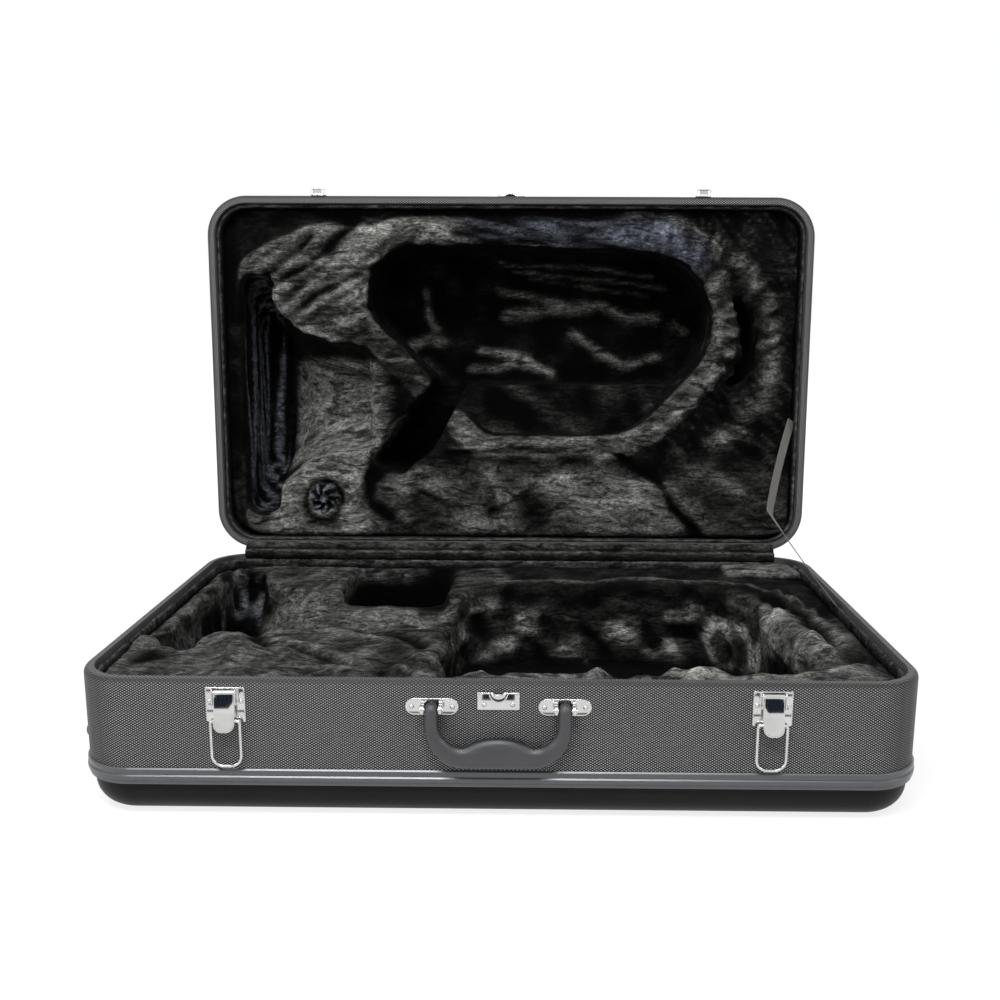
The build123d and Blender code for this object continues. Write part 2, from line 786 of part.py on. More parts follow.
def build_lining():
    keep("base_floor_pad", floor_pad())
    keep("base_sleeve", sleeve(base_height))
    keep("base_bell_pad", base_bell_pad())
    keep("base_pocket_pad", base_pocket_pad())
    keep("base_body_pad", base_body_pad())
    keep("base_corner_pad", base_corner_pad())
    lid = {"lid_floor_pad": floor_pad(), "lid_sleeve": sleeve(lid_height), "lid_bell_pad": lid_bell_pad()}
    lid.update({"lid_body_pad": lid_body_pad(), "lid_tuft_pad": lid_tuft_pad(), "lid_tuft_button": tuft_button()})
    for name, shape in lid.items():
        keep(name, opened(to_lid(shape)))
    keep("lid_lower_pads", [opened(to_lid(pad)) for pad in lid_lower_pads()])
    keep("stay_strap", strap())
    keep("hinge_strip", hinge_strip())


def build_hinges():
    lower = leaf_under(False)
    upper = mirror(leaf_under(True), Plane.XY)
    keep("hinge_base_leaves", at_hinges(lower))
    keep("hinge_lid_leaves", [opened(s) for s in at_hinges(upper)])
    keep("hinge_pins", at_hinges(hinge_pin()))


def build_latches():
    for side, x in (("left", -latch_spacing / 2), ("right", latch_spacing / 2)):
        keep("latch_plate_" + side, on_front(latch_plate(), x))
        keep("latch_pin_" + side, on_front(latch_pin(), x))
        keep("latch_lever_" + side, on_front(lever(), x))
        keep("bail_" + side, on_front(bail(), x))
        keep("catch_" + side, opened(on_front(catch(), x)))
    keep("centre_plate_base", on_front(centre_plate()))
    keep("centre_plate_lid", opened(on_front(mirror(centre_plate(), Plane.XY.offset(seam_z)))))


def build_handles():
    keep("front_handle", on_front(handle()))
    keep("front_handle_posts", [on_front(s) for s in at_posts(post())])
    keep("front_handle_pins", [on_front(s) for s in at_posts(post_pin())])
    keep("end_handle", on_right(handle(), end_handle_y))
    keep("end_handle_posts", [on_right(s, end_handle_y) for s in at_posts(post())])
    keep("end_handle_pins", [on_right(s, end_handle_y) for s in at_posts(post_pin())])


def build_rivets():
    """All rivets of each half: latches, centre plate and hinges, and the handles' posts on the base."""
    base = [on_front(r, x) for x in (-latch_spacing / 2, latch_spacing / 2) for r in latch_rivets()]
    base += [on_front(r) for r in centre_rivets() + at_posts(post_rivets())]
    base += [on_right(r, end_handle_y) for r in at_posts(post_rivets())]
    base += at_hinges(hinge_rivets())
    lid = [on_front(r, x) for x in (-latch_spacing / 2, latch_spacing / 2) for r in catch_rivets()]
    lid += [on_front(mirror(r, Plane.XY.offset(seam_z))) for r in centre_rivets()]
    lid += at_hinges([mirror(r, Plane.XY) for r in hinge_rivets()])
    keep("base_rivets", base)
    keep("lid_rivets", [opened(r) for r in lid])


build_shell()
build_lining()
build_hinges()
build_latches()
build_handles()
build_rivets()
os.makedirs("parts", exist_ok=True)
for name, shape in parts.items():
    export_step(shape, f"parts/{name}.step")
print(len(parts), "nodes")
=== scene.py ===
import json
import math

import bpy
import numpy as np
from mathutils import Matrix, Vector


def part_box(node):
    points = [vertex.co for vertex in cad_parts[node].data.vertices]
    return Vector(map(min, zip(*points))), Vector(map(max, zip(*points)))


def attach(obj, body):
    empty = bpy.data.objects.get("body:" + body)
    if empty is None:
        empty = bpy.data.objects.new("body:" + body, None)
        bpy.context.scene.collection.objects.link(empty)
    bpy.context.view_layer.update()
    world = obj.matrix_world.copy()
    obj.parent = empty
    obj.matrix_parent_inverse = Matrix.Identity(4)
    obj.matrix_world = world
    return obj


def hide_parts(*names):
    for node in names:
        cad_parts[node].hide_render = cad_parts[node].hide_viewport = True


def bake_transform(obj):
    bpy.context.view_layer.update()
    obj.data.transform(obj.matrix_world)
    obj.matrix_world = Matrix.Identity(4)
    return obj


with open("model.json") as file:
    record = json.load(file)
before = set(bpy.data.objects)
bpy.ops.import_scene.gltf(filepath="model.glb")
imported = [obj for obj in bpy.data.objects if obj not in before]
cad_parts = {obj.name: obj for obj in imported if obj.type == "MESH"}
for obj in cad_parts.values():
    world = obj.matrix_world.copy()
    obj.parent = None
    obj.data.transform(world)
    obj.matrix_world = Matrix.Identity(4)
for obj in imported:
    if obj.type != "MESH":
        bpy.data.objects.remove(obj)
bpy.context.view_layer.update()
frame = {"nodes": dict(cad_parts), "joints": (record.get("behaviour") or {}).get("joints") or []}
nodes = frame["nodes"]
bpy.ops.object.select_all(action="DESELECT")

# Studio. A white floor under the case, a wide lamp over the front, a smaller one at each side, and the
# camera where the photograph was taken from: a little above the case and square to its front.
eye = Vector((0.02898, -1.17727, 0.51237))
eye_yaw, eye_pitch, eye_roll = -0.0095, 0.1902, -0.0044
ahead = Vector((math.sin(eye_yaw) * math.cos(eye_pitch), math.cos(eye_yaw) * math.cos(eye_pitch),
                -math.sin(eye_pitch)))
level = Vector((math.cos(eye_yaw), -math.sin(eye_yaw), 0))
down = ahead.cross(level)
across = math.cos(eye_roll) * level + math.sin(eye_roll) * down
up = math.sin(eye_roll) * level - math.cos(eye_roll) * down
lens = bpy.data.cameras.new("camera")
lens.sensor_width = 36
lens.lens = 36.66
lens.shift_x = -0.02024
lens.shift_y = -0.00786
lens.clip_end = 60
camera = bpy.data.objects.new("camera", lens)
camera.matrix_world = Matrix.Translation(eye) @ Matrix((across, up, -ahead)).transposed().to_4x4()
bpy.context.scene.collection.objects.link(camera)
bpy.context.scene.camera = camera
bpy.context.scene.view_settings.view_transform = "Standard"


def softbox(name, place, aim, width, height, power, tint=(1, 1, 1)):
    """A rectangular studio lamp that points at a place on the case."""
    lamp = bpy.data.lights.new(name, "AREA")
    lamp.shape = "RECTANGLE"
    lamp.size, lamp.size_y, lamp.energy, lamp.color = width, height, power, tint
    stand = bpy.data.objects.new(name, lamp)
    turn = (Vector(aim) - Vector(place)).to_track_quat("-Z", "Y")
    stand.matrix_world = Matrix.Translation(place) @ turn.to_matrix().to_4x4()
    bpy.context.scene.collection.objects.link(stand)


softbox("lamp_over_front", (-0.3, -1.5, 2.3), (0, 0.1, 0.2), 1.6, 0.5, 58, (0.93, 0.965, 1.0))
softbox("lamp_left", (-2.4, -1.6, 1.0), (0, 0, 0.2), 0.7, 1.4, 16)
softbox("lamp_right", (2.5, -1.0, 1.1), (0, 0, 0.2), 0.6, 1.2, 12)


def blank_finish(name):
    """A material with its shader's node."""
    finish = bpy.data.materials.new(name)
    finish.use_nodes = True
    return finish, finish.node_tree, finish.node_tree.nodes["Principled BSDF"]


def add_node(tree, kind, inputs=None, **settings):
    made = tree.nodes.new(kind)
    for key, value in settings.items():
        setattr(made, key, value)
    for key, value in (inputs or {}).items():
        if isinstance(value, bpy.types.NodeSocket):
            tree.links.new(value, made.inputs[key])
        else:
            made.inputs[key].default_value = value
    return made


def combine(tree, operation, first, second):
    """Result of a sum on two values, each a number or a socket."""
    return add_node(tree, "ShaderNodeMath", {0: first, 1: second}, operation=operation).outputs[0]


def noise(tree, place, scale, detail, **more):
    return add_node(tree, "ShaderNodeTexNoise", {"Vector": place, "Scale": scale, "Detail": detail, **more})


def stretch(tree, value, low, high, to_low, to_high):
    """A value moved from one range to another."""
    return add_node(tree, "ShaderNodeMapRange", {"Value": value, "From Min": low, "From Max": high,
                                                 "To Min": to_low, "To Max": to_high}).outputs[0]


def tones(tree, share, dark, light, **settings):
    """A colour between two others."""
    return add_node(tree, "ShaderNodeMix", {"Factor": share, "A": (*dark, 1), "B": (*light, 1)},
                    data_type="RGBA", **settings)


def background_rays(tree):
    """1 for rays that see the plain white background: from the camera, off metal and through glass."""
    path = add_node(tree, "ShaderNodeLightPath")
    seen = combine(tree, "MAXIMUM", path.outputs["Is Camera Ray"], path.outputs["Is Glossy Ray"])
    return combine(tree, "MAXIMUM", seen, path.outputs["Is Transmission Ray"])


world = bpy.data.worlds.new("studio")
bpy.context.scene.world = world
world.use_nodes = True
sky = world.node_tree
room = sky.nodes["Background"]
room.inputs["Color"].default_value = (1, 1, 1, 1)
room.inputs["Strength"].default_value = 0.38
white = add_node(sky, "ShaderNodeBackground", {"Color": (1, 1, 1, 1), "Strength": 1.0})
shown = add_node(sky, "ShaderNodeMixShader", {0: background_rays(sky), 1: room.outputs[0],
                                              2: white.outputs[0]})
sky.links.new(shown.outputs[0], sky.nodes["World Output"].inputs["Surface"])

bpy.ops.mesh.primitive_plane_add(size=40, location=(0, 0, -0.0005))
floor = bpy.context.object
floor.name = "floor"
paper, tree, shader = blank_finish("floor_paper")
shader.inputs["Base Color"].default_value = (0.86, 0.86, 0.86, 1)
shader.inputs["Roughness"].default_value = 0.9
glow = add_node(tree, "ShaderNodeEmission", {"Color": (1, 1, 1, 1), "Strength": 1.12})
coords = add_node(tree, "ShaderNodeTexCoord")
reach = add_node(tree, "ShaderNodeVectorMath", {0: coords.outputs["Object"]}, operation="LENGTH")
far = add_node(tree, "ShaderNodeMapRange", {"Value": reach.outputs["Value"], "From Min": 0.5,
                                            "From Max": 1.3, "To Min": 0.72, "To Max": 1.0},
               interpolation_type="SMOOTHSTEP")
share = combine(tree, "MULTIPLY", background_rays(tree), far.outputs[0])
mixed = add_node(tree, "ShaderNodeMixShader", {0: share, 1: shader.outputs[0], 2: glow.outputs[0]})
tree.links.new(mixed.outputs[0], tree.nodes["Material Output"].inputs["Surface"])
floor.data.materials.append(paper)

card_black, tree, shader = blank_finish("black_card")
shader.inputs["Base Color"].default_value = (0.014, 0.018, 0.028, 1)
shader.inputs["Roughness"].default_value = 1.0
shader.inputs["Specular IOR Level"].default_value = 0.0


def black_card(name, place, width, height, turn=(0, 0, 0)):
    """A dark card that shows only in polished metal, as a studio uses to give chrome its edges."""
    bpy.ops.mesh.primitive_plane_add(size=1, location=place, rotation=turn)
    card = bpy.context.object
    card.name = name
    card.scale = (width, height, 1)
    card.data.materials.append(card_black)
    card.visible_camera = card.visible_diffuse = card.visible_shadow = card.visible_transmission = False


black_card("card_horizon", (0, -3.0, 0.30), 5.0, 0.14, (math.pi / 2, 0, 0))
black_card("card_left", (-2.6, -0.6, 0.6), 2.2, 0.5, (math.pi / 2, 0, math.pi / 2))
black_card("card_right", (2.6, -0.6, 0.6), 2.2, 0.5, (math.pi / 2, 0, math.pi / 2))
black_card("card_strip_high", (0, -0.578, 0.003), 1.4, 0.007)
black_card("card_strip_low", (0, -0.512, 0.003), 1.4, 0.006)
mirrors = (("latch_lever_left", 0.012, 0.029, 0.062), ("latch_lever_right", 0.012, 0.029, 0.062),
           ("centre_plate_base", 0.008, 0.042, 0.026))
for mirror, drop, width, length in mirrors:
    low_corner, high_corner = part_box(mirror)
    face = Vector(((low_corner.x + high_corner.x) / 2, low_corner.y, high_corner.z - drop))
    glance = face - eye
    spot = face + Vector((glance.x, -glance.y, glance.z)) * (face.z / -glance.z)
    black_card("card_" + mirror, (spot.x, spot.y, 0.004), width, length)

# Wall bands of base and lid. Plywood rings covered with vinyl that is embossed like a coarse cloth:
# rows of small raised dots, each row half a step on from the last, running on over the rounded rim.
dot_pitch, row_pitch = 0.0041, 0.0026


def dress(names, finish):
    """Gives CAD pieces their finish."""
    for name in names:
        piece = nodes[name]
        piece.data.materials.clear()
        piece.data.materials.append(finish)


def embossed_dots(tree):
    """Height of staggered dots on whichever way a wall faces."""
    coords = add_node(tree, "ShaderNodeTexCoord")
    waves = []
    for pitch in (dot_pitch, row_pitch):
        turns = 2 * math.pi / pitch
        spread = add_node(tree, "ShaderNodeVectorMath", {0: coords.outputs["Object"], 3: turns},
                          operation="SCALE")
        wave = add_node(tree, "ShaderNodeVectorMath", {0: spread.outputs[0]}, operation="COSINE")
        waves.append(add_node(tree, "ShaderNodeSeparateXYZ", {0: wave.outputs[0]}))
    facing = coords.outputs["Normal"]
    for _ in range(2):
        squared = add_node(tree, "ShaderNodeVectorMath", {0: facing, 1: facing}, operation="MULTIPLY")
        facing = squared.outputs[0]
    way = add_node(tree, "ShaderNodeSeparateXYZ", {0: facing})
    height = None
    for side, along, stacked in ((0, 1, 2), (1, 0, 2), (2, 0, 1)):
        dots = combine(tree, "MULTIPLY", waves[0].outputs[along], waves[1].outputs[stacked])
        dots = combine(tree, "MULTIPLY", dots, way.outputs[side])
        height = dots if height is None else combine(tree, "ADD", height, dots)
    return height, coords.outputs["Object"]


vinyl, tree, shader = blank_finish("embossed_vinyl")
dots, place = embossed_dots(tree)
patchy = noise(tree, place, 9.0, 4.0)
# Painted light: the dots' crowns are painted pale as their highlights, and the ground between them near
# black as shade.
crown = stretch(tree, dots, -1.0, 1.0, 0.0, 1.0)
dot_highlight_sharpness = 4.5
tint = combine(tree, "POWER", crown, dot_highlight_sharpness)
tone = tones(tree, tint, (0.001, 0.001, 0.001), (0.70, 0.687, 0.687))
worn = tones(tree, patchy.outputs[0], (0.78, 0.78, 0.78), (1.0, 0.99, 0.98))
tone = add_node(tree, "ShaderNodeMix", {"Factor": 1.0, "A": tone.outputs["Result"],
                                        "B": worn.outputs["Result"]},
                data_type="RGBA", blend_type="MULTIPLY")
tree.links.new(tone.outputs["Result"], shader.inputs["Base Color"])
shader.inputs["Roughness"].default_value = 0.5
shader.inputs["Specular IOR Level"].default_value = 0.25
relief = add_node(tree, "ShaderNodeBump", {"Strength": 0.6, "Distance": 0.0006, "Height": dots})
tree.links.new(relief.outputs[0], shader.inputs["Normal"])
dress(["base_wall_band", "lid_wall_band"], vinyl)

# Trays of base and lid. Pressed from smooth black plastic sheet, with a low satin shine, faint flow
# marks and a few rubs from standing on floors.
tray_black, tree, shader = blank_finish("tray_plastic")
coords = add_node(tree, "ShaderNodeTexCoord")
clouds = noise(tree, coords.outputs["Object"], 14.0, 6.0, Roughness=0.65)
tone = tones(tree, clouds.outputs[0], (0.004, 0.004, 0.0045), (0.013, 0.013, 0.0135))
tree.links.new(tone.outputs["Result"], shader.inputs["Base Color"])
gloss = add_node(tree, "ShaderNodeMapRange", {"Value": clouds.outputs[0], "To Min": 0.34, "To Max": 0.52})
tree.links.new(gloss.outputs[0], shader.inputs["Roughness"])
shader.inputs["Specular IOR Level"].default_value = 0.11
grain = noise(tree, coords.outputs["Object"], 420.0, 3.0)
relief = add_node(tree, "ShaderNodeBump", {"Strength": 0.12, "Distance": 0.0004, "Height": grain.outputs[0]})
tree.links.new(relief.outputs[0], shader.inputs["Normal"])
dress(["base_tray", "lid_tray"], tray_black)

# Trims. An extruded plastic strip round the seam of wall and tray: a flange against the vinyl, a groove
# and a round bead that catches a cool light.
trim_grey, tree, shader = blank_finish("trim_extrusion")
coords = add_node(tree, "ShaderNodeTexCoord")
scuffs = noise(tree, coords.outputs["Object"], 60.0, 5.0)
tone = tones(tree, scuffs.outputs[0], (0.028, 0.030, 0.034), (0.052, 0.055, 0.062))
tree.links.new(tone.outputs["Result"], shader.inputs["Base Color"])
gloss = add_node(tree, "ShaderNodeMapRange", {"Value": scuffs.outputs[0], "To Min": 0.26, "To Max": 0.36})
tree.links.new(gloss.outputs[0], shader.inputs["Roughness"])
shader.inputs["Specular IOR Level"].default_value = 0.9
dress(["base_trim", "lid_trim"], trim_grey)

# Fittings. Latches, catches, hinges, posts, centre plates, pins and rivets are pressed or turned steel
# with bright nickel plating. Their edges are shaded as pressed over a small radius.
nickel, tree, shader = blank_finish("nickel_plate")
coords = add_node(tree, "ShaderNodeTexCoord")
rubs = noise(tree, coords.outputs["Object"], 40.0, 4.0)
tone = tones(tree, rubs.outputs[0], (0.46, 0.455, 0.44), (0.72, 0.72, 0.71))
tree.links.new(tone.outputs["Result"], shader.inputs["Base Color"])
shader.inputs["Metallic"].default_value = 1.0
gloss = add_node(tree, "ShaderNodeMapRange", {"Value": rubs.outputs[0], "To Min": 0.02, "To Max": 0.05})
tree.links.new(gloss.outputs[0], shader.inputs["Roughness"])
pressed = add_node(tree, "ShaderNodeBevel", {"Radius": 0.0016}, samples=8)
tree.links.new(pressed.outputs[0], shader.inputs["Normal"])
fittings = [n for n in nodes if n.startswith(("latch_", "bail_", "catch_", "centre_", "hinge_"))]
fittings += ["base_rivets", "lid_rivets", "front_handle_posts", "front_handle_pins", "end_handle_posts",
             "end_handle_pins"]
dress([n for n in fittings if n != "hinge_strip"], nickel)

# Handles and glide feet. Moulded from dark satin plastic, with a fine grain. The shading is rounded well
# past their fillets, because the real grip is rounder in section than the solid.
handle_grey, tree, shader = blank_finish("handle_plastic")
coords = add_node(tree, "ShaderNodeTexCoord")
moulded = noise(tree, coords.outputs["Object"], 35.0, 5.0)
tone = tones(tree, moulded.outputs[0], (0.016, 0.016, 0.018), (0.034, 0.034, 0.037))
tree.links.new(tone.outputs["Result"], shader.inputs["Base Color"])
gloss = add_node(tree, "ShaderNodeMapRange", {"Value": moulded.outputs[0], "To Min": 0.26, "To Max": 0.40})
tree.links.new(gloss.outputs[0], shader.inputs["Roughness"])
grain = noise(tree, coords.outputs["Object"], 900.0, 2.0)
rounded = add_node(tree, "ShaderNodeBevel", {"Radius": 0.013}, samples=12)
relief = add_node(tree, "ShaderNodeBump", {"Strength": 0.15, "Distance": 0.0002, "Height": grain.outputs[0],
                                         "Normal": rounded.outputs[0]})
tree.links.new(relief.outputs[0], shader.inputs["Normal"])
shader.inputs["Specular IOR Level"].default_value = 0.7
dress(["front_handle", "end_handle", "base_feet", "lid_feet"], handle_grey)

# Base lining. Foam blocks glued into the tray and covered with one sheet of black plush, which is pushed
# into each hollow by hand, so it gathers in folds on the walls and lies smooth over the bell's cradle.
# Painted light: silver highlights on crests and smooth runs, and painted shade deep in creases and hollows.
plush_grain, plush_rounding = 0.005, 9
pile_highlight_sharpness = 1.6
scatter, scatter_gain, seed_step = np.array((127.1, 311.7, 74.7)), 43758.5453, 17.3
tuft_height, fine_tuft_height = 0.0007, 0.0006
highest_crest_in_hollows = 0.0015
inside_half_width, inside_half_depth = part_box("base_floor_pad")[1].xy
base_glued_height, lid_glued_depth = 0.010, 0.1503


def lattice_noise(points, seed):
    """Smooth noise from -1 to 1 at points given in cells."""
    cell = np.floor(points)
    part = points - cell
    part = part * part * (3 - 2 * part)
    total = np.zeros(len(points))
    for corner in np.ndindex(*(2,) * points.shape[1]):
        spot = cell + corner
        value = np.sin(spot @ scatter[:points.shape[1]] + seed * seed_step) * scatter_gain
        value = 2 * (value - np.floor(value)) - 1
        weight = np.prod(np.where(np.array(corner) == 1, part, 1 - part), axis=1)
        total += value * weight
    return total


def ridges(points, along, length, width, seed):
    """Cloth folds that run along a direction: rounded crests with narrow creases between them."""
    along = np.array(along, float) / np.linalg.norm(along)
    straight = points @ along
    rest = points - np.outer(straight, along)
    drift = np.stack([lattice_noise(points / (2.2 * length) + 7 * k, seed + k)
                      for k in range(points.shape[1])], axis=1)
    spot = rest / width + np.outer(straight / length, along) + 0.9 * drift
    return 1 - 2.2 * np.abs(lattice_noise(spot, seed + 5)) ** 0.8


def rise(value, low, high):
    """Goes smoothly from 0 at low to 1 at high."""
    share = np.clip((value - low) / (high - low), 0, 1)
    return share * share * (3 - 2 * share)


def between(value, low, high, edge):
    """Goes from 0 to 1 and back over soft edges."""
    return rise(value, low - edge / 2, low + edge / 2) * (1 - rise(value, high - edge / 2, high + edge / 2))


def line_distance(spots, line):
    """How far each place is from a line through a few points."""
    best = np.full(len(spots), 1e9)
    for start, end in zip(line[:-1], line[1:]):
        start, way = np.array(start), np.array(end) - np.array(start)
        share = np.clip((spots - start) @ way / (way @ way), 0, 1)
        best = np.minimum(best, np.linalg.norm(spots - start - share[:, None] * way, axis=1))
    return best


def within(spots, outline, edge):
    """1 inside an outline and 0 outside it, with a soft edge."""
    inside = np.zeros(len(spots), bool)
    closed = list(outline) + [outline[0]]
    for (x0, y0), (x1, y1) in zip(closed[:-1], closed[1:]):
        if y0 != y1:
            crossing = (y0 > spots[:, 1]) != (y1 > spots[:, 1])
            inside ^= crossing & (spots[:, 0] < (x1 - x0) * (spots[:, 1] - y0) / (y1 - y0) + x0)
    away = line_distance(spots, closed)
    return rise(np.where(inside, away, -away), -edge, edge)


def lay_folds(spots, folds, reach):
    """Height and painted light of folds given one by one: painted highlight on crests and painted shade in
    creases, each given as its width, height, painted light and line.
    """
    height, painted_light = np.zeros(len(spots)), np.zeros(len(spots))
    for width, rise_of_it, painted_light_of_it, line in folds:
        shape = np.exp(-(line_distance(spots, line) / width) ** 2) * reach
        height += rise_of_it * shape
        painted_light += painted_light_of_it * shape
    return height, painted_light


def paint(painted_light, value, share):
    return painted_light * (1 - share) + value * share


def kept_inside(raised, facing, above_floor, x, across, face):
    """No fold on the glued or outer sides, none deeper than its foam, and only low ones in the hollows."""
    from_wall = np.minimum(inside_half_width - np.abs(x), inside_half_depth - np.abs(across))
    raised = np.minimum(raised, highest_crest_in_hollows + 0.03 * face)
    raised = raised * rise(facing, -0.6, -0.2) * rise(from_wall, 0.001, 0.012)
    return np.maximum(raised, -0.5 * np.maximum(above_floor, 0))


def plush_block(name, parts_of_it, grain, rounding):
    """One closed padded piece from the CAD blocks: they're fused, and their edges are rounded."""
    bpy.ops.object.select_all(action="DESELECT")
    for part in parts_of_it:
        copy = bpy.data.objects.new(part + "_foam", nodes[part].data.copy())
        bpy.context.scene.collection.objects.link(copy)
        copy.select_set(True)
        bpy.context.view_layer.objects.active = copy
    bpy.ops.object.join()
    block = bpy.context.object
    block.name = name
    block.data.materials.clear()
    bpy.ops.object.mode_set(mode="EDIT")
    bpy.ops.mesh.select_all(action="SELECT")
    bpy.ops.mesh.remove_doubles(threshold=0.00002)
    bpy.ops.object.mode_set(mode="OBJECT")
    fused = block.modifiers.new("fused", "REMESH")
    fused.mode = "VOXEL"
    fused.voxel_size = grain
    bpy.ops.object.modifier_apply(modifier="fused")
    worn = block.modifiers.new("rounded", "SMOOTH")
    worn.factor, worn.iterations = 0.5, rounding
    bpy.ops.object.modifier_apply(modifier="rounded")
    return block


def read_points(mesh, what):
    flat = np.zeros(len(mesh.vertices) * 3)
    mesh.vertices.foreach_get(what, flat)
    return flat.reshape(-1, 3)


def lay_cloth(block, cloth):
    """Moves each point out along its normal and notes the pile's painted highlight and shade, and its
    coolness, there.
    """
    mesh = block.data
    place, normal = read_points(mesh, "co"), read_points(mesh, "normal")
    depth, painted_light, cool = cloth(place, normal)
    mesh.vertices.foreach_set("co", (place + normal * depth[:, None]).ravel())
    for name, values in (("pile_painted_light", painted_light), ("pile_cool", cool)):
        note = mesh.attributes.get(name) or mesh.attributes.new(name, "FLOAT", "POINT")
        note.data.foreach_set("value", np.clip(values, 0, 1.4).astype(np.float32))
    mesh.update()


def finish_plush(block, finish, body, soft_nodes):
    """Refines a padded piece, gives it its plush and says what it stands for."""
    bpy.ops.object.select_all(action="DESELECT")
    block.select_set(True)
    bpy.context.view_layer.objects.active = block
    finer = block.modifiers.new("finer", "SUBSURF")
    finer.levels = finer.render_levels = 1
    bpy.ops.object.modifier_apply(modifier="finer")
    place, normal = read_points(block.data, "co"), read_points(block.data, "normal")
    coarse, fine = lattice_noise(place / 0.006, 3), lattice_noise(place / 0.0035, 8)
    tufts = tuft_height * coarse + fine_tuft_height * fine
    block.data.vertices.foreach_set("co", (place + normal * tufts[:, None]).ravel())
    block.data.update()
    block.data.materials.clear()
    block.data.materials.append(finish)
    bpy.ops.object.shade_smooth()
    if body:
        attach(block, body)
    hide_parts(*soft_nodes)


def black_plush(name, lay):
    """Long-pile plush: black, with tufts that lie one way, and a painted silver highlight where the piece's
    painted light attribute is high.
    """
    finish, tree, shader = blank_finish(name)
    coords = add_node(tree, "ShaderNodeTexCoord")
    combed = add_node(tree, "ShaderNodeMapping", {"Vector": coords.outputs["Object"], "Rotation": lay,
                                                  "Scale": (170, 620, 620)})
    tufts = noise(tree, combed.outputs[0], 1.0, 3.0, Roughness=0.7, Distortion=0.6)
    clumps = noise(tree, coords.outputs["Object"], 150.0, 4.0, Roughness=0.7)
    strands = stretch(tree, tufts.outputs[0], 0.36, 0.66, 0.35, 1.55)
    matted = stretch(tree, clumps.outputs[0], 0.36, 0.64, 0.62, 1.32)
    painted_light = add_node(tree, "ShaderNodeAttribute", attribute_name="pile_painted_light")
    cool = add_node(tree, "ShaderNodeAttribute", attribute_name="pile_cool")
    swept = add_node(tree, "ShaderNodeMapping", {"Vector": coords.outputs["Object"], "Rotation": lay,
                                                 "Scale": (26, 85, 85)})
    swirls = noise(tree, swept.outputs[0], 1.0, 3.0, Roughness=0.62, Distortion=1.3)
    swirl = stretch(tree, swirls.outputs[0], 0.36, 0.64, 0.22, 1.65)
    # The painted light attribute takes the colour from black towards a painted silver highlight.
    painted_sheen = combine(tree, "POWER", painted_light.outputs["Fac"], pile_highlight_sharpness)
    painted_sheen = combine(tree, "MULTIPLY", painted_sheen, swirl)
    bright = combine(tree, "MULTIPLY", painted_sheen, strands)
    bright = combine(tree, "MULTIPLY", bright, matted)
    painted_sheen_tone = tones(tree, cool.outputs["Fac"], (0.245, 0.240, 0.215), (0.185, 0.200, 0.245),
                   clamp_factor=True)
    tone = add_node(tree, "ShaderNodeMix", {"Factor": bright, "A": (0.0006, 0.0005, 0.0005, 1),
                                            "B": painted_sheen_tone.outputs["Result"]},
                    data_type="RGBA", clamp_factor=False)
    tree.links.new(tone.outputs["Result"], shader.inputs["Base Color"])
    shader.inputs["Roughness"].default_value = 0.75
    shader.inputs["Specular IOR Level"].default_value = 0.03
    shader.inputs["Sheen Weight"].default_value = 0.012
    shader.inputs["Sheen Roughness"].default_value = 0.4
    shader.inputs["Sheen Tint"].default_value = (0.75, 0.74, 0.72, 1)
    pile = combine(tree, "ADD", tufts.outputs[0], clumps.outputs[0])
    relief = add_node(tree, "ShaderNodeBump", {"Strength": 0.9, "Distance": 0.003, "Height": pile})
    tree.links.new(relief.outputs[0], shader.inputs["Normal"])
    return finish


base_plush = black_plush("base_plush", (0.35, 0.3, 0.75))
cradle_in_base = ((-0.336, -0.07), (-0.336, 0.13), (-0.26, 0.11), (-0.20, 0.10), (-0.07, 0.09),
                  (-0.07, -0.04), (-0.20, -0.06), (-0.26, -0.08))
light_block = ((-0.072, -0.04), (-0.072, 0.20), (-0.022, 0.23), (0.0, 0.17), (-0.03, 0.0))
right_pad = ((0.16, 0.08), (0.30, 0.10), (0.37, 0.02), (0.37, -0.19), (0.30, -0.19), (0.27, -0.05))
base_crests = (
    (0.005, 0.004, 0.30, ((-0.330, 0.130), (-0.315, -0.032), (-0.290, -0.100))),
    (0.020, 0.011, 0.15, ((-0.399, -0.121), (-0.365, -0.130), (-0.344, -0.101), (-0.327, -0.077),
                          (-0.303, -0.108), (-0.273, -0.166))),
    (0.013, 0.006, 0.30, ((-0.186, -0.028), (-0.164, 0.021), (-0.111, 0.035), (-0.070, 0.011))),
    (0.010, 0.005, 0.20, ((-0.187, -0.063), (-0.128, -0.094), (-0.083, -0.162))),
    (0.007, 0.003, 0.45, ((-0.010, 0.150), (0.093, 0.152), (0.198, 0.166), (0.295, 0.149), (0.351, 0.104),
                          (0.382, 0.002), (0.375, -0.097))),
    (0.014, 0.008, 0.25, ((0.148, 0.092), (0.192, 0.080), (0.240, 0.060), (0.261, 0.048), (0.294, 0.024),
                          (0.324, -0.011), (0.342, -0.118), (0.350, -0.146))),
    (0.011, 0.007, 0.25, ((0.274, 0.075), (0.326, 0.000), (0.345, -0.067), (0.343, -0.137))),
    (0.010, 0.008, 0.45, ((0.162, -0.180), (0.178, -0.195), (0.193, -0.215))),
    (0.011, 0.008, 0.40, ((0.010, -0.214), (0.060, -0.205), (0.110, -0.212), (0.140, -0.205))),
    (0.011, 0.008, 0.40, ((0.205, -0.208), (0.241, -0.218), (0.273, -0.207), (0.330, -0.200),
                          (0.372, -0.170))),
    (0.010, 0.007, 0.30, ((-0.100, -0.190), (-0.060, -0.210), (-0.020, -0.205))),
    (0.008, 0.005, 0.25, ((-0.251, -0.097), (-0.187, -0.136), (-0.140, -0.172))),
    (0.008, 0.005, 0.25, ((-0.219, -0.174), (-0.178, -0.182), (-0.132, -0.186))),
)
left_shelf = ((-0.425, -0.105), (-0.383, -0.105), (-0.383, 0.205), (-0.345, 0.245), (-0.425, 0.265))
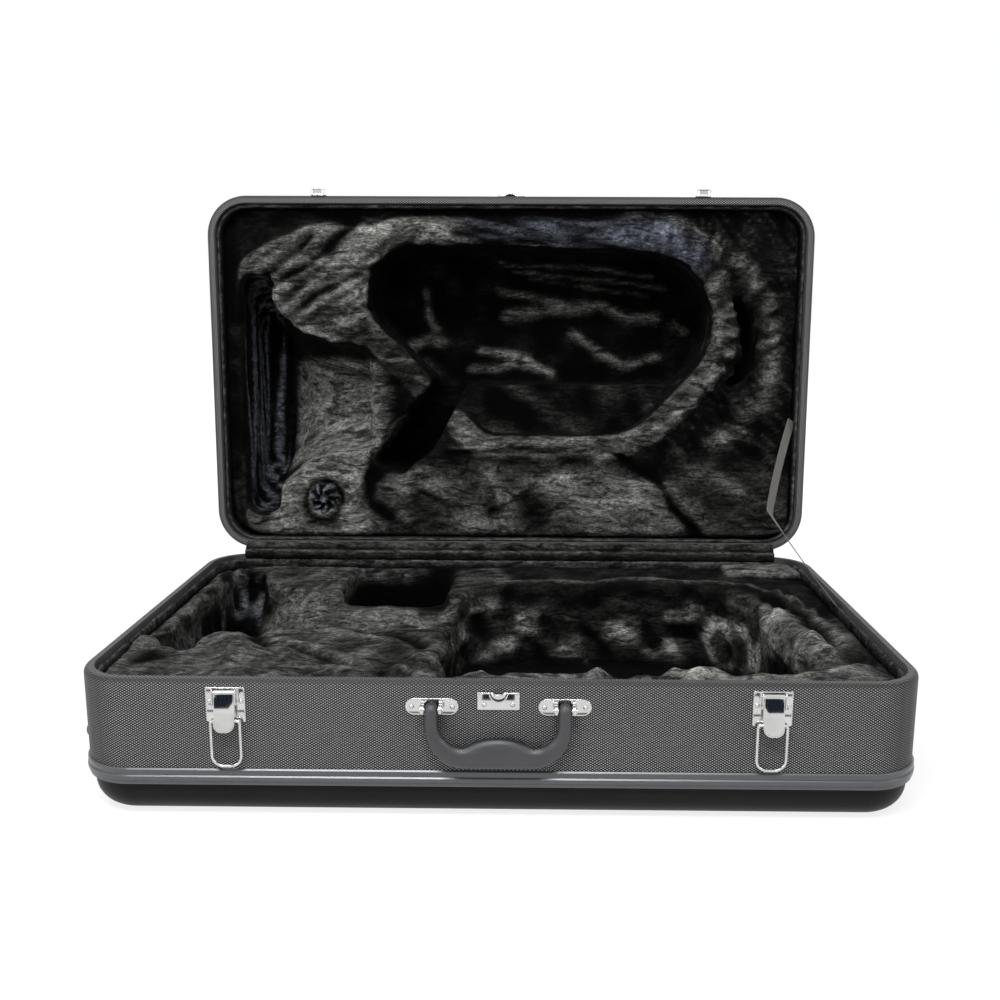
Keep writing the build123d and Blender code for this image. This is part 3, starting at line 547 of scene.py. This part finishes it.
base_creases = (
    (0.009, -0.004, -0.55, ((-0.362, 0.205), (-0.297, -0.032), (-0.262, -0.120))),
    (0.004, -0.004, -0.45, ((-0.345, 0.205), (-0.300, 0.060), (-0.276, -0.020))),
    (0.004, -0.006, -0.50, ((-0.287, -0.065), (-0.285, -0.030), (-0.283, 0.005))),
    (0.004, -0.006, -0.45, ((-0.226, -0.047), (-0.218, -0.020), (-0.211, 0.007))),
    (0.005, -0.004, -0.30, ((-0.240, -0.115), (-0.180, -0.155), (-0.120, -0.195))),
    (0.006, -0.005, -0.35, ((-0.170, -0.050), (-0.120, -0.070), (-0.090, -0.120))),
    (0.012, -0.004, -0.45, ((-0.378, -0.168), (-0.360, -0.157))),
    (0.008, -0.006, -0.45, ((0.180, 0.045), (0.235, 0.030), (0.285, -0.020), (0.310, -0.100))),
    (0.006, -0.005, -0.40, ((0.330, 0.085), (0.362, 0.010), (0.366, -0.100))),
    (0.005, -0.004, -0.30, ((0.310, 0.184), (0.350, 0.180), (0.398, 0.176))),
)
base_face, base_flare, base_pocket = (0.098, 0.120), (-0.385, -0.330), (-0.217, -0.074)


def base_cloth(place, normal):
    """Depth, painted highlight and shade, and coolness of the plush in the base, region by region."""
    x, y, z = place.T
    wander = np.stack([lattice_noise(place / 0.03, 31), lattice_noise(place / 0.03, 32)], 1)
    spots = place[:, :2] + 0.005 * wander
    face = rise(z, *base_face)
    cradle = within(spots, cradle_in_base, 0.010)
    smooth_end = 1 - rise(x, -0.15, -0.10)
    raised, fold_painted_light = lay_folds(spots, base_crests + base_creases, rise(z, 0.080, 0.110))
    crowd = ridges(place, (0.8, 0.6, 0), 0.07, 0.026, 2)
    gathers = ridges(place, (0.75, 0.66, 0), 0.05, 0.013, 3)
    wild = rise(x, -0.14, -0.06) * (1 - within(spots, light_block, 0.012))
    raised += (crowd * 0.007 + gathers * 0.002) * wild * between(y, -0.26, 0.13, 0.04) * face
    raised += ridges(place, (0.3, 1, 0), 0.14, 0.050, 4) * 0.0022 * smooth_end * face
    walls = (1 - face) * (1 - np.abs(normal[:, 2]))
    hang = ridges(place, (0, 0, 1), 0.16, 0.020, 9)
    slump = ridges(place, (0.72, 0.1, -0.62), 0.11, 0.024, 10)
    body = rise(x, -0.08, -0.05) * (1 - face)
    lumps = rise(lattice_noise(place / np.array((0.028, 0.028, 0.018)), 33), -0.2, 0.5)
    raised += 0.005 * lumps * body * rise(z, 0.03, 0.06)
    raised += hang * 0.0038 * walls * (1 - cradle) * (1 - body) + slump * 0.008 * body * rise(z, 0.03, 0.06)
    raised += 0.003 * lattice_noise(place / 0.055, 6)
    drapes = ridges(place, (0.22, 1, 0.3), 0.10, 0.011, 7)
    draped = within(spots, left_shelf, 0.006)
    raised += 0.003 * drapes * draped * face
    streaks = ridges(place, (0.35, 1, 0), 0.09, 0.012, 5)
    # Painted light from here on: silver highlights on crests and smooth runs, painted shade where the plush
    # lies in shadow.
    painted_light = 0.08 + 0.0 * x
    painted_light = paint(painted_light, 0.44 + 0.20 * streaks, smooth_end * face)
    painted_light = paint(painted_light, 0.30 + 0.24 * crowd + 0.16 * gathers, wild * face * (1 - rise(y, -0.10, 0.10)))
    painted_light = paint(painted_light, 0.42 + 0.24 * crowd + 0.14 * gathers, within(spots, right_pad, 0.020) * face)
    painted_light = paint(painted_light, 0.32 + 0.18 * gathers, within(spots, light_block, 0.010) * face)
    painted_light = paint(painted_light, 0.12 + 0.06 * streaks, rise(y, 0.150, 0.162) * rise(x, 0.0, 0.02) * face)
    painted_light = paint(painted_light, 0.66 + 0.20 * crowd, rise(x, 0.296, 0.304) * rise(y, 0.176, 0.186) * face)
    painted_light = paint(painted_light, 0.62 + 0.14 * streaks, cradle * rise(z, 0.060, 0.080))
    pushed = 0.05 + (0.16 + 0.62 * lumps) * rise(slump, -0.4, 0.5) + 0.34 * lumps
    painted_light = paint(painted_light, pushed, body * rise(z, 0.015, 0.045) * rise(y, -0.05, 0.0))
    painted_light = paint(painted_light, 0.06 + 0.60 * rise(drapes, 0.0, 0.8), draped * face)
    flare = between(x, *base_flare, 0.006) * (1 - face)
    painted_light = paint(painted_light, 0.04 + 0.66 * rise(hang, -0.1, 0.7) * rise(z, 0.03, 0.10), flare)
    painted_light = painted_light + fold_painted_light + 0.10 * lattice_noise(place / 0.022, 12)
    raised = kept_inside(raised, normal[:, 2], z - base_glued_height, x, y, face)
    # Painted shade: darker at the bottom of the hollows and in the pocket.
    bottom = (1 - rise(z, 0.015, 0.050)) * (1 - cradle) * (1 - flare)
    pocket = between(x, *base_pocket, 0.004) * rise(y, 0.095, 0.115) * (1 - face)
    return raised, painted_light * (1 - 0.9 * bottom) * (1 - 0.85 * pocket), 0.35 * flare + 0.10


base_soft = ["base_floor_pad", "base_bell_pad", "base_pocket_pad", "base_body_pad", "base_corner_pad"]
base_lining = plush_block("base_lining", base_soft, plush_grain, plush_rounding)
lay_cloth(base_lining, base_cloth)
finish_plush(base_lining, base_plush, "base", base_soft)

# Lid lining. Made like the base's: a bell cradle at the left with a tufted cushion below it, and a
# raised arch round the hollow for the body, where the plush is stretched and gathers at the crescent.
hinge = next(joint for joint in frame["joints"] if joint["name"] == "lid_hinge")
hinge_line = Vector(hinge["pos_m"])
lean = math.radians(hinge["range_deg"][1] - 90)
lid_middle = hinge_line.y
lid_plush = black_plush("lid_plush", (0, 0.30, 0))


def on_lid(place):
    """Place on the open lid: across, up from the hinge edge, and out of the lid towards the viewer."""
    up_way = np.array((0, math.sin(lean), math.cos(lean)))
    out_way = np.array((0, -math.cos(lean), math.sin(lean)))
    from_hinge = place - np.array(hinge_line)
    return place[:, 0], from_hinge @ up_way, from_hinge @ out_way


cradle_in_lid = ((-0.330, 0.110), (-0.330, 0.270), (-0.300, 0.282), (-0.196, 0.272), (-0.172, 0.252),
                 (-0.150, 0.225), (-0.160, 0.185), (-0.192, 0.140), (-0.260, 0.136))
upper_pad = ((-0.362, 0.405), (-0.330, 0.340), (-0.270, 0.292), (-0.200, 0.280), (-0.192, 0.395),
             (-0.110, 0.436), (-0.075, 0.462), (-0.290, 0.470), (-0.350, 0.430))
arch_top = ((-0.075, 0.470), (-0.030, 0.432), (0.100, 0.424), (0.200, 0.404), (0.262, 0.388), (0.290, 0.415),
            (0.225, 0.470), (0.030, 0.482))
outer_crumple = ((0.168, 0.480), (0.218, 0.468), (0.278, 0.442), (0.318, 0.418), (0.345, 0.386),
                 (0.367, 0.346), (0.374, 0.285), (0.366, 0.232), (0.342, 0.194), (0.296, 0.156))
swirl_corner = ((0.130, 0.448), (0.215, 0.474), (0.300, 0.436), (0.352, 0.388), (0.330, 0.362),
                (0.285, 0.398), (0.230, 0.418))
arch_right = ((0.262, 0.400), (0.296, 0.340), (0.285, 0.260), (0.243, 0.204), (0.310, 0.165), (0.382, 0.230),
              (0.388, 0.330), (0.345, 0.410), (0.300, 0.430))
bright_lip = ((-0.205, 0.100), (-0.150, 0.086), (-0.110, 0.120), (-0.056, 0.236), (-0.040, 0.160),
              (0.120, 0.166), (0.200, 0.180), (0.262, 0.222), (0.330, 0.205), (0.250, 0.146),
              (0.120, 0.142), (-0.070, 0.138))
under_lip = ((-0.190, 0.010), (-0.150, 0.086), (-0.070, 0.138), (0.150, 0.142), (0.205, 0.100),
             (0.270, 0.010))
dark_bridge = ((-0.200, 0.315), (-0.188, 0.270), (-0.155, 0.236), (-0.120, 0.226), (-0.080, 0.262),
               (-0.130, 0.290))
tuft_pad = ((-0.352, 0.012), (-0.345, 0.112), (-0.300, 0.128), (-0.206, 0.138), (-0.204, 0.012))
arch_centre, stitch_place, stitch_ring = (0.19, 0.30), (-0.269, 0.073), 0.027
lid_face, lid_rim, lid_flare = (-0.042, -0.026), (-0.0205, -0.0125), (-0.385, -0.331)
face_crests = (
    (0.007, 0.003, 0.25, ((-0.353, 0.391), (-0.312, 0.337), (-0.271, 0.295))),
    (0.012, 0.005, 0.40, ((-0.196, 0.457), (-0.140, 0.460), (-0.095, 0.452))),
    (0.010, 0.003, 0.25, ((-0.192, 0.150), (-0.162, 0.168), (-0.123, 0.224), (-0.084, 0.262))),
    (0.004, 0.002, 0.25, ((-0.085, 0.151), (-0.028, 0.155), (0.072, 0.158), (0.115, 0.165), (0.200, 0.178),
                          (0.251, 0.209), (0.286, 0.260), (0.297, 0.335))),
    (0.012, 0.005, 0.35, ((0.134, 0.065), (0.181, 0.074), (0.216, 0.057), (0.243, 0.035))),
    (0.010, 0.005, 0.30, ((0.003, 0.073), (0.029, 0.095), (0.107, 0.111))),
    (0.010, 0.005, 0.30, ((0.267, 0.118), (0.306, 0.101), (0.350, 0.075))),
    (0.010, 0.004, 0.25, ((0.220, 0.090), (0.262, 0.060), (0.290, 0.026))),
    (0.006, 0.003, 0.25, ((-0.332, 0.106), (-0.288, 0.132), (-0.244, 0.146), (-0.201, 0.150))),
)
face_creases = (
    (0.0045, -0.005, -0.50, ((-0.347, 0.391), (-0.310, 0.418), (-0.278, 0.446))),
    (0.0045, -0.005, -0.50, ((-0.324, 0.387), (-0.281, 0.407), (-0.251, 0.436))),
    (0.004, -0.005, -0.50, ((-0.291, 0.354), (-0.248, 0.379), (-0.197, 0.404), (-0.146, 0.422))),
    (0.004, -0.003, -0.30, ((-0.283, 0.329), (-0.240, 0.337), (-0.202, 0.350))),
    (0.008, -0.006, -0.50, ((-0.303, 0.385), (-0.298, 0.388))),
    (0.009, -0.008, -0.60, ((-0.251, 0.428), (-0.238, 0.448), (-0.221, 0.464))),
    (0.005, -0.004, -0.35, ((-0.079, 0.453), (-0.045, 0.445), (-0.029, 0.437), (0.050, 0.440))),
    (0.004, -0.003, -0.35, ((-0.089, 0.145), (-0.014, 0.147), (0.072, 0.147), (0.150, 0.150))),
    (0.006, -0.006, -0.55, ((0.158, 0.139), (0.202, 0.109), (0.238, 0.066), (0.274, 0.022))),
    (0.005, -0.004, -0.35, ((-0.133, 0.090), (-0.098, 0.072), (-0.072, 0.064))),
    (0.006, -0.005, -0.40, ((-0.024, 0.055), (-0.002, 0.064), (0.037, 0.099))),
    (0.010, -0.008, -0.55, ((-0.202, 0.107), (-0.207, 0.071), (-0.170, 0.045), (-0.140, 0.022))),
    (0.007, -0.006, -0.50, ((-0.290, 0.040), (-0.268, 0.034), (-0.250, 0.038))),
    (0.006, -0.004, -0.45, ((-0.262, 0.098), (-0.240, 0.088), (-0.238, 0.074))),
)
cradle_creases = (
    (0.004, -0.003, -0.30, ((-0.306, 0.275), (-0.272, 0.262), (-0.182, 0.250), (-0.131, 0.232))),
    (0.003, -0.002, -0.25, ((-0.300, 0.268), (-0.230, 0.248), (-0.160, 0.240))),
    (0.003, -0.002, -0.18, ((-0.300, 0.190), (-0.230, 0.196), (-0.150, 0.205))),
    (0.003, -0.002, -0.18, ((-0.300, 0.160), (-0.240, 0.168), (-0.180, 0.172))),
)
well_folds = (
    (0.003, 0.003, 0.45, ((-0.017, 0.419), (0.116, 0.415), (0.214, 0.398))),
    (0.003, 0.003, 0.40, ((0.001, 0.408), (0.161, 0.393), (0.233, 0.381))),
    (0.003, 0.003, 0.30, ((0.027, 0.397), (0.117, 0.385), (0.206, 0.372))),
    (0.006, 0.006, 0.50, ((-0.017, 0.375), (0.050, 0.367), (0.075, 0.360))),
    (0.009, 0.010, 0.60, ((-0.010, 0.340), (0.050, 0.349), (0.139, 0.358), (0.171, 0.339), (0.220, 0.337))),
    (0.007, 0.008, 0.55, ((0.091, 0.314), (0.132, 0.287), (0.173, 0.265), (0.222, 0.279))),
    (0.006, 0.008, 0.70, ((-0.049, 0.287), (0.019, 0.280), (0.060, 0.252))),
    (0.006, 0.006, 0.50, ((-0.064, 0.258), (-0.027, 0.258), (0.004, 0.270), (0.040, 0.262))),
    (0.006, 0.006, 0.50, ((-0.130, 0.379), (-0.126, 0.348), (-0.117, 0.322))),
    (0.008, 0.007, 0.50, ((-0.154, 0.295), (-0.125, 0.305), (-0.109, 0.300))),
    (0.012, 0.008, 0.40, ((-0.160, 0.266), (-0.130, 0.262))),
    (0.007, 0.004, 0.35, ((0.250, 0.330), (0.262, 0.318))),
)


def lid_cloth(place, normal):
    """Depth, painted highlight and shade, and coolness of the plush in the lid, region by region."""
    x, v, out = on_lid(place)
    spots = np.stack([x, v], 1)
    spots = spots + 0.004 * np.stack([lattice_noise(place / 0.03, 41), lattice_noise(place / 0.03, 42)], 1)
    flat = np.stack([x, v, out], 1)
    face = rise(out, *lid_face)
    top = rise(out, *lid_rim)
    cradle = within(spots, cradle_in_lid, 0.008)
    deep = (1 - face) * (1 - cradle)
    flare = between(x, *lid_flare, 0.006) * (1 - face)
    raised, fold_painted_light = lay_folds(spots, face_crests + face_creases, face)
    in_cradle, cradle_painted_light = lay_folds(spots, cradle_creases, cradle)
    in_well, well_painted_light = lay_folds(spots, well_folds, rise(-out, 0.105, 0.125) * rise(x, -0.19, -0.18))
    sweep = ridges(flat, (0.82, 0.57, 0), 0.12, 0.012, 11)
    fine = ridges(flat, (0.90, 0.43, 0), 0.06, 0.007, 12)
    pad = within(spots, upper_pad, 0.008) * face
    reach = spots - np.array(arch_centre)
    radius, turn = np.linalg.norm(reach, axis=1), np.arctan2(reach[:, 1], reach[:, 0])
    gathers = ridges(np.stack([turn * 0.13, radius], 1), (0, 1), 0.05, 0.011, 14)
    gathered = within(spots, arch_right, 0.012) * face
    arch_lines = ridges(flat, (0.97, -0.22, 0), 0.12, 0.008, 15)
    pillows = ridges(flat, (0.75, -0.65, 0), 0.14, 0.045, 16)
    pillowed = (1 - rise(v, 0.125, 0.145)) * rise(x, -0.21, -0.18) * face
    streaks = ridges(flat, (0.62, -0.78, 0), 0.045, 0.009, 22)
    outer = (1 - top) * face * rise(v, 0.10, 0.16)
    hang = ridges(flat, (0.05, 1, 0), 0.22, 0.012, 18)
    crumple = np.exp(-(line_distance(spots, outer_crumple) / 0.013) ** 2) * face
    tucks = ridges(np.stack([turn * 0.18, radius], 1), (0.25, 1), 0.035, 0.009, 20)
    raised += in_cradle + in_well + sweep * 0.0024 * pad + gathers * 0.005 * gathered
    raised += (0.006 + 0.003 * tucks) * crumple * (1 - top)
    raised += pillows * 0.006 * pillowed + hang * 0.004 * flare
    on_floor = rise(-out, 0.09, 0.11)
    raised += ridges(flat, (1, -0.12, 0), 0.14, 0.026, 13) * 0.006 * deep * (1 - flare) * on_floor
    raised += 0.0025 * lattice_noise(place / 0.05, 19)
    raised -= 0.008 * within(spots, cradle_in_lid, 0.03) * face
    # Painted light from here on: highlights on the rim top, pads, lips and crests, and painted shade in the
    # deep hollows, the stitch ring and the creases.
    painted_light = 0.07 + 0.36 * top
    painted_light = paint(painted_light, 0.47 + 0.36 * sweep + 0.10 * fine, pad)
    painted_light = paint(painted_light, 0.31 + 0.24 * arch_lines, within(spots, arch_top, 0.008) * face)
    painted_light = paint(painted_light, 0.46 + 0.34 * tucks, within(spots, swirl_corner, 0.012) * face)
    painted_light = paint(painted_light, 0.42 + 0.34 * gathers, gathered)
    painted_light = paint(painted_light, 0.46 + 0.26 * pillows + 0.10 * fine, within(spots, under_lip, 0.010) * face)
    painted_light = paint(painted_light, 0.16 + 0.18 * pillows, rise(x, 0.20, 0.27) * (1 - rise(v, 0.13, 0.17)) * face)
    painted_light = paint(painted_light, 0.43 + 0.30 * arch_lines, within(spots, bright_lip, 0.007) * face)
    painted_light = paint(painted_light, 0.78 + 0.14 * fine, within(spots, tuft_pad, 0.006) * face)
    painted_light = paint(painted_light, 0.05 + 0.16 * rise(streaks, 0.3, 0.9) * rise(x, 0.15, 0.25), outer)
    painted_light = paint(painted_light, 0.46 + 0.40 * tucks, crumple * (1 - 0.6 * top))
    stitch = np.linalg.norm(spots - np.array(stitch_place), axis=1)
    painted_light = paint(painted_light, 0.10, np.exp(-((stitch - stitch_ring) / 0.005) ** 2))
    painted_light = paint(painted_light, 0.66 + 0.16 * fine, cradle * (1 - face * rise(x, -0.20, -0.16)))
    painted_light = paint(painted_light, 0.20 + 0.35 * rise(gathers, 0.4, 0.9), within(spots, dark_bridge, 0.006) * face)
    painted_light = paint(painted_light, 0.03, deep)
    shelf = deep * between(out, -0.062, -0.042, 0.006) * rise(x, -0.06, -0.04)
    painted_light = paint(painted_light, 0.10 + 0.20 * pillows, shelf)
    painted_light = paint(painted_light, 0.03 + 0.66 * rise(hang, -0.2, 0.7), flare * (1 - rise(x, -0.352, -0.342)))
    painted_light = painted_light + fold_painted_light + cradle_painted_light + well_painted_light + 0.10 * lattice_noise(place / 0.022, 23)
    cool = 0.08 + 0.9 * within(spots, arch_top, 0.015) + 0.7 * flare
    facing = normal @ np.array((0, -math.cos(lean), math.sin(lean)))
    raised = kept_inside(raised, facing, out + lid_glued_depth, x, v - lid_middle, face)
    return raised, painted_light, cool


lid_soft = ["lid_floor_pad", "lid_bell_pad", "lid_body_pad", "lid_tuft_pad", "lid_lower_pads"]
lid_lining = plush_block("lid_lining", lid_soft, plush_grain, plush_rounding)
lay_cloth(lid_lining, lid_cloth)
finish_plush(lid_lining, lid_plush, "lid", lid_soft)

# Wall sleeves. A strip of the same plush over thin foam lines the walls of each half. A lighter fuzzy
# line along its top edge, just inside the rim, is a painted highlight.
sleeve_low, sleeve_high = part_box("base_sleeve")
sleeve_foam = 0.004
sleeve_corner = 0.0437
corner_steps, long_side, long_side_cuts = 14, 0.1, 95
lid_sleeve_low, lid_sleeve_high = sleeve_low[2], 0.154
closed_height = 0.3076
lid_sleeve_edge = lid_sleeve_high - closed_height + hinge_line.z


def plush_sleeve(name, low, high):
    """A band round the inside of the walls: a rounded outline drawn up in rows, then given its thickness."""
    width = sleeve_high[0] - sleeve_low[0] - sleeve_foam
    depth = sleeve_high[1] - sleeve_low[1] - sleeve_foam
    bpy.ops.mesh.primitive_plane_add(size=1, location=(0, 0, low))
    band = bpy.context.object
    band.name = name
    band.scale = (width, depth, 1)
    bpy.ops.object.transform_apply(location=True, rotation=True, scale=True)
    bpy.ops.object.mode_set(mode="EDIT")
    bpy.ops.mesh.bevel(offset=sleeve_corner - sleeve_foam / 2, segments=corner_steps, affect="VERTICES")
    bpy.ops.mesh.delete(type="ONLY_FACE")
    bpy.ops.object.mode_set(mode="OBJECT")
    for edge in band.data.edges:
        first, last = (band.data.vertices[end].co for end in edge.vertices)
        edge.select = (first - last).length > long_side
    for point in band.data.vertices:
        point.select = False
    bpy.ops.object.mode_set(mode="EDIT")
    bpy.ops.mesh.select_mode(type="EDGE")
    bpy.ops.mesh.subdivide(number_cuts=long_side_cuts)
    bpy.ops.mesh.select_all(action="SELECT")
    rows = 16
    for _ in range(rows):
        bpy.ops.mesh.extrude_edges_move(TRANSFORM_OT_translate={"value": (0, 0, (high - low) / rows)})
    bpy.ops.mesh.select_mode(type="VERT")
    bpy.ops.object.mode_set(mode="OBJECT")
    lined = band.modifiers.new("lined", "SOLIDIFY")
    lined.thickness, lined.offset = sleeve_foam, 0
    bpy.ops.object.modifier_apply(modifier="lined")
    return band


def sleeve_cloth(height_of, top):
    """The sleeve's own folds: it hangs in shallow waves, with a painted highlight only along its top edge.
    """
    def cloth(place, normal):
        height = height_of(place)
        edge = rise(height, top - 0.012, top - 0.002)
        waves = ridges(place, (0.1, 0.1, 1), 0.12, 0.03, 51)
        fuzz = 0.5 + 0.5 * lattice_noise(place / 0.006, 52)
        return 0.0006 * waves - 0.0002, 0.05 + edge * (0.26 + 0.40 * fuzz), 0.2 + 0 * height
    return cloth


base_band = plush_sleeve("base_sleeve_plush", sleeve_low[2], sleeve_high[2])
lay_cloth(base_band, sleeve_cloth(lambda place: place[:, 2], sleeve_high[2]))
finish_plush(base_band, base_plush, "base", ["base_sleeve"])
lid_band = plush_sleeve("lid_sleeve_plush", lid_sleeve_low, lid_sleeve_high)
turned = (Matrix.Translation(hinge_line) @ Matrix.Rotation(-math.pi / 2 - lean, 4, "X")
          @ Matrix.Translation(-hinge_line) @ Matrix.Translation((0, 0, closed_height))
          @ Matrix.Diagonal((1, 1, -1, 1)))
lid_band.data.transform(turned)
lid_band.data.flip_normals()
lay_cloth(lid_band, sleeve_cloth(lambda place: on_lid(place)[2], lid_sleeve_edge))
finish_plush(lid_band, lid_plush, "lid", ["lid_sleeve"])

# Rosette. The lid's corner cushion is drawn in by a stitch, over which a small flower of gathered plush
# is sewn: a dished disc with radial creases and a covered button at its middle.
rosette_low, rosette_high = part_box("lid_tuft_button")
rosette_radius = 0.024
petals = 7
bpy.ops.mesh.primitive_uv_sphere_add(segments=110, ring_count=50, radius=1)
rosette = bpy.context.object
rosette.name = "rosette"
ball = read_points(rosette.data, "co")
turn = np.arctan2(ball[:, 1], ball[:, 0])
wide = np.hypot(ball[:, 0], ball[:, 1])
swirl = petals * turn + 5.5 * wide + 0.7 * np.sin(3 * turn)
scallops = 1 + 0.08 * np.cos(swirl) * wide ** 2
gather = 1 - 0.60 * (0.5 - 0.5 * np.cos(swirl)) * between(wide, 0.25, 0.98, 0.3)
button = np.exp(-(wide / 0.24) ** 2)
dish = np.exp(-((wide - 0.33) / 0.11) ** 2)
petal_height, button_height, dish_depth, back_thickness = 0.0105, 0.0016, 0.0030, 0.0014
front = petal_height * ball[:, 2] * gather + button_height * button - dish_depth * dish
thick = np.where(ball[:, 2] > 0, front, back_thickness * ball[:, 2])
ball = np.stack([ball[:, 0] * scallops * rosette_radius, ball[:, 1] * scallops * rosette_radius, thick],
                axis=1)
rosette.data.vertices.foreach_set("co", ball.ravel())
seat = (rosette_low + rosette_high) / 2 + Vector((0.002, 0.002, 0))
rosette.data.transform(Matrix.Translation(seat) @ Matrix.Rotation(math.pi / 2 - lean, 4, "X"))


def rosette_cloth(place, normal):
    """Petals get a painted highlight on top of their gathers, and painted shade in the creases and the dish.
    """
    painted_light = 0.85 * gather ** 2.5 * (1 - 0.5 * rise(wide, 0.85, 1.0)) - 0.35 * dish
    return 0.0 * painted_light, painted_light, 0.8 + 0.0 * painted_light


lay_cloth(rosette, rosette_cloth)
finish_plush(rosette, lid_plush, "lid", ["lid_tuft_button"])

# Stay strap. A flat woven tape from the base's right wall to the lid's. It hangs a little slack at the
# open angle and is creased part of the way along, where it folds in when the case is shut.
strap_low, strap_fold, strap_high = (0.405, 0.014, 0.141), (0.360, 0.202, 0.220), (0.402, 0.2745, 0.3391)
strap_width, tape_thickness = 0.015, 0.0012
strap_steps = 72
strap_crease = 0.56
low_bow, high_bow = (0.384, 0.112, 0.174), (0.376, 0.236, 0.281)


def strap_route(share):
    """Place on the strap's middle line: two slack runs that meet at the crease."""
    if share < strap_crease:
        ends, bow, way = (strap_low, strap_fold), low_bow, share / strap_crease
    else:
        ends, bow, way = (strap_fold, strap_high), high_bow, (share - strap_crease) / (1 - strap_crease)
    first, last = (Vector(end) for end in ends)
    return first * (1 - way) ** 2 + 2 * way * (1 - way) * Vector(bow) + last * way ** 2


bpy.ops.mesh.primitive_grid_add(x_subdivisions=8, y_subdivisions=strap_steps, size=1)
strap = bpy.context.object
strap.name = "stay_strap_tape"
lower_side = Vector((0.567, 0.431, -0.703))
upper_side = Vector((0.716, 0.456, -0.530))
for point in strap.data.vertices:
    share = min(max(point.co.y + 0.5, 0), 1)
    lean_in = min(max((share - 0.44) / 0.24, 0), 1)
    side = lower_side.lerp(upper_side, lean_in).normalized()
    point.co = strap_route(share) + side * (point.co.x * strap_width)
woven = strap.modifiers.new("woven", "SOLIDIFY")
woven.thickness, woven.offset = tape_thickness, 0
bpy.ops.object.modifier_apply(modifier="woven")
bpy.ops.object.shade_smooth()
tape, tree, shader = blank_finish("strap_tape")
coords = add_node(tree, "ShaderNodeTexCoord")
ribs = add_node(tree, "ShaderNodeTexWave", {"Vector": coords.outputs["Object"], "Scale": 260.0,
                                            "Distortion": 1.0, "Detail": 2.0}, bands_direction="Z")
fibres = noise(tree, coords.outputs["Object"], 900.0, 3.0)
mixed = combine(tree, "MULTIPLY", ribs.outputs[1], fibres.outputs[0])
tone = tones(tree, mixed, (0.050, 0.046, 0.040), (0.310, 0.290, 0.260))
tree.links.new(tone.outputs["Result"], shader.inputs["Base Color"])
shader.inputs["Roughness"].default_value = 0.85
shader.inputs["Sheen Weight"].default_value = 0.1
relief = add_node(tree, "ShaderNodeBump", {"Strength": 0.5, "Distance": 0.0004, "Height": mixed})
tree.links.new(relief.outputs[0], shader.inputs["Normal"])
strap.data.materials.append(tape)
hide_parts("stay_strap")
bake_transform(strap)

# Hinge roll. Plush over a soft core hides the gap between the two back rims: it hangs a little over the
# base's rim and climbs the lid's, with a narrow seam between its two turns.
strip_low, strip_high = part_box("hinge_strip")
roll_outline = ((0.2367, 0.1468), (0.2364, 0.1418), (0.2334, 0.1402), (0.2308, 0.1428), (0.2298, 0.1478),
                (0.2316, 0.1516), (0.2362, 0.1536), (0.2428, 0.1534),
                (0.2441, 0.1526), (0.2438, 0.1548), (0.2440, 0.1586), (0.2451, 0.1628), (0.2468, 0.1652),
                (0.2486, 0.1656), (0.2490, 0.1600), (0.2489, 0.1530), (0.2488, 0.1476), (0.2440, 0.1473))
roll_rows = 260
bpy.ops.mesh.primitive_circle_add(vertices=len(roll_outline), radius=1, fill_type="NGON")
roll = bpy.context.object
roll.name = "hinge_roll"
bpy.ops.object.mode_set(mode="EDIT")
bpy.ops.mesh.select_all(action="SELECT")
for _ in range(roll_rows):
    bpy.ops.mesh.extrude_region_move(TRANSFORM_OT_translate={"value": (0, 0, 1 / roll_rows)})
bpy.ops.object.mode_set(mode="OBJECT")
rounds = read_points(roll.data, "co")
corner = np.rint(np.arctan2(rounds[:, 1], rounds[:, 0]) / (2 * math.pi / len(roll_outline))).astype(int)
section = np.array(roll_outline)[(corner - corner.min()) % len(roll_outline)]
strip_overlap = 0.034
reach_x = strip_low[0] - strip_overlap + rounds[:, 2] * (strip_high[0] - strip_low[0] + 2 * strip_overlap)
roll.data.vertices.foreach_set("co", np.stack([reach_x, section[:, 0], section[:, 1]], axis=1).ravel())
roll.data.update()
bpy.ops.object.mode_set(mode="EDIT")
bpy.ops.mesh.select_all(action="SELECT")
bpy.ops.mesh.normals_make_consistent(inside=False)
bpy.ops.object.mode_set(mode="OBJECT")


def roll_cloth(place, normal):
    """The roll's two turns get a painted highlight, and their seam painted shade."""
    low_turn = np.exp(-((place[:, 1] - 0.2360) / 0.0040) ** 2 - ((place[:, 2] - 0.1530) / 0.003) ** 2)
    high_turn = rise(place[:, 2], 0.1560, 0.1600)
    swell = 0.0006 * lattice_noise(place / 0.030, 61) * rise(place[:, 2], 0.149, 0.152)
    painted_light = 0.16 + 0.40 * low_turn + 0.30 * high_turn + 0.1 * lattice_noise(place / 0.02, 62)
    return swell, painted_light, 0.0 * swell


lay_cloth(roll, roll_cloth)
finish_plush(roll, base_plush, None, ["hinge_strip"])
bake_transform(roll)
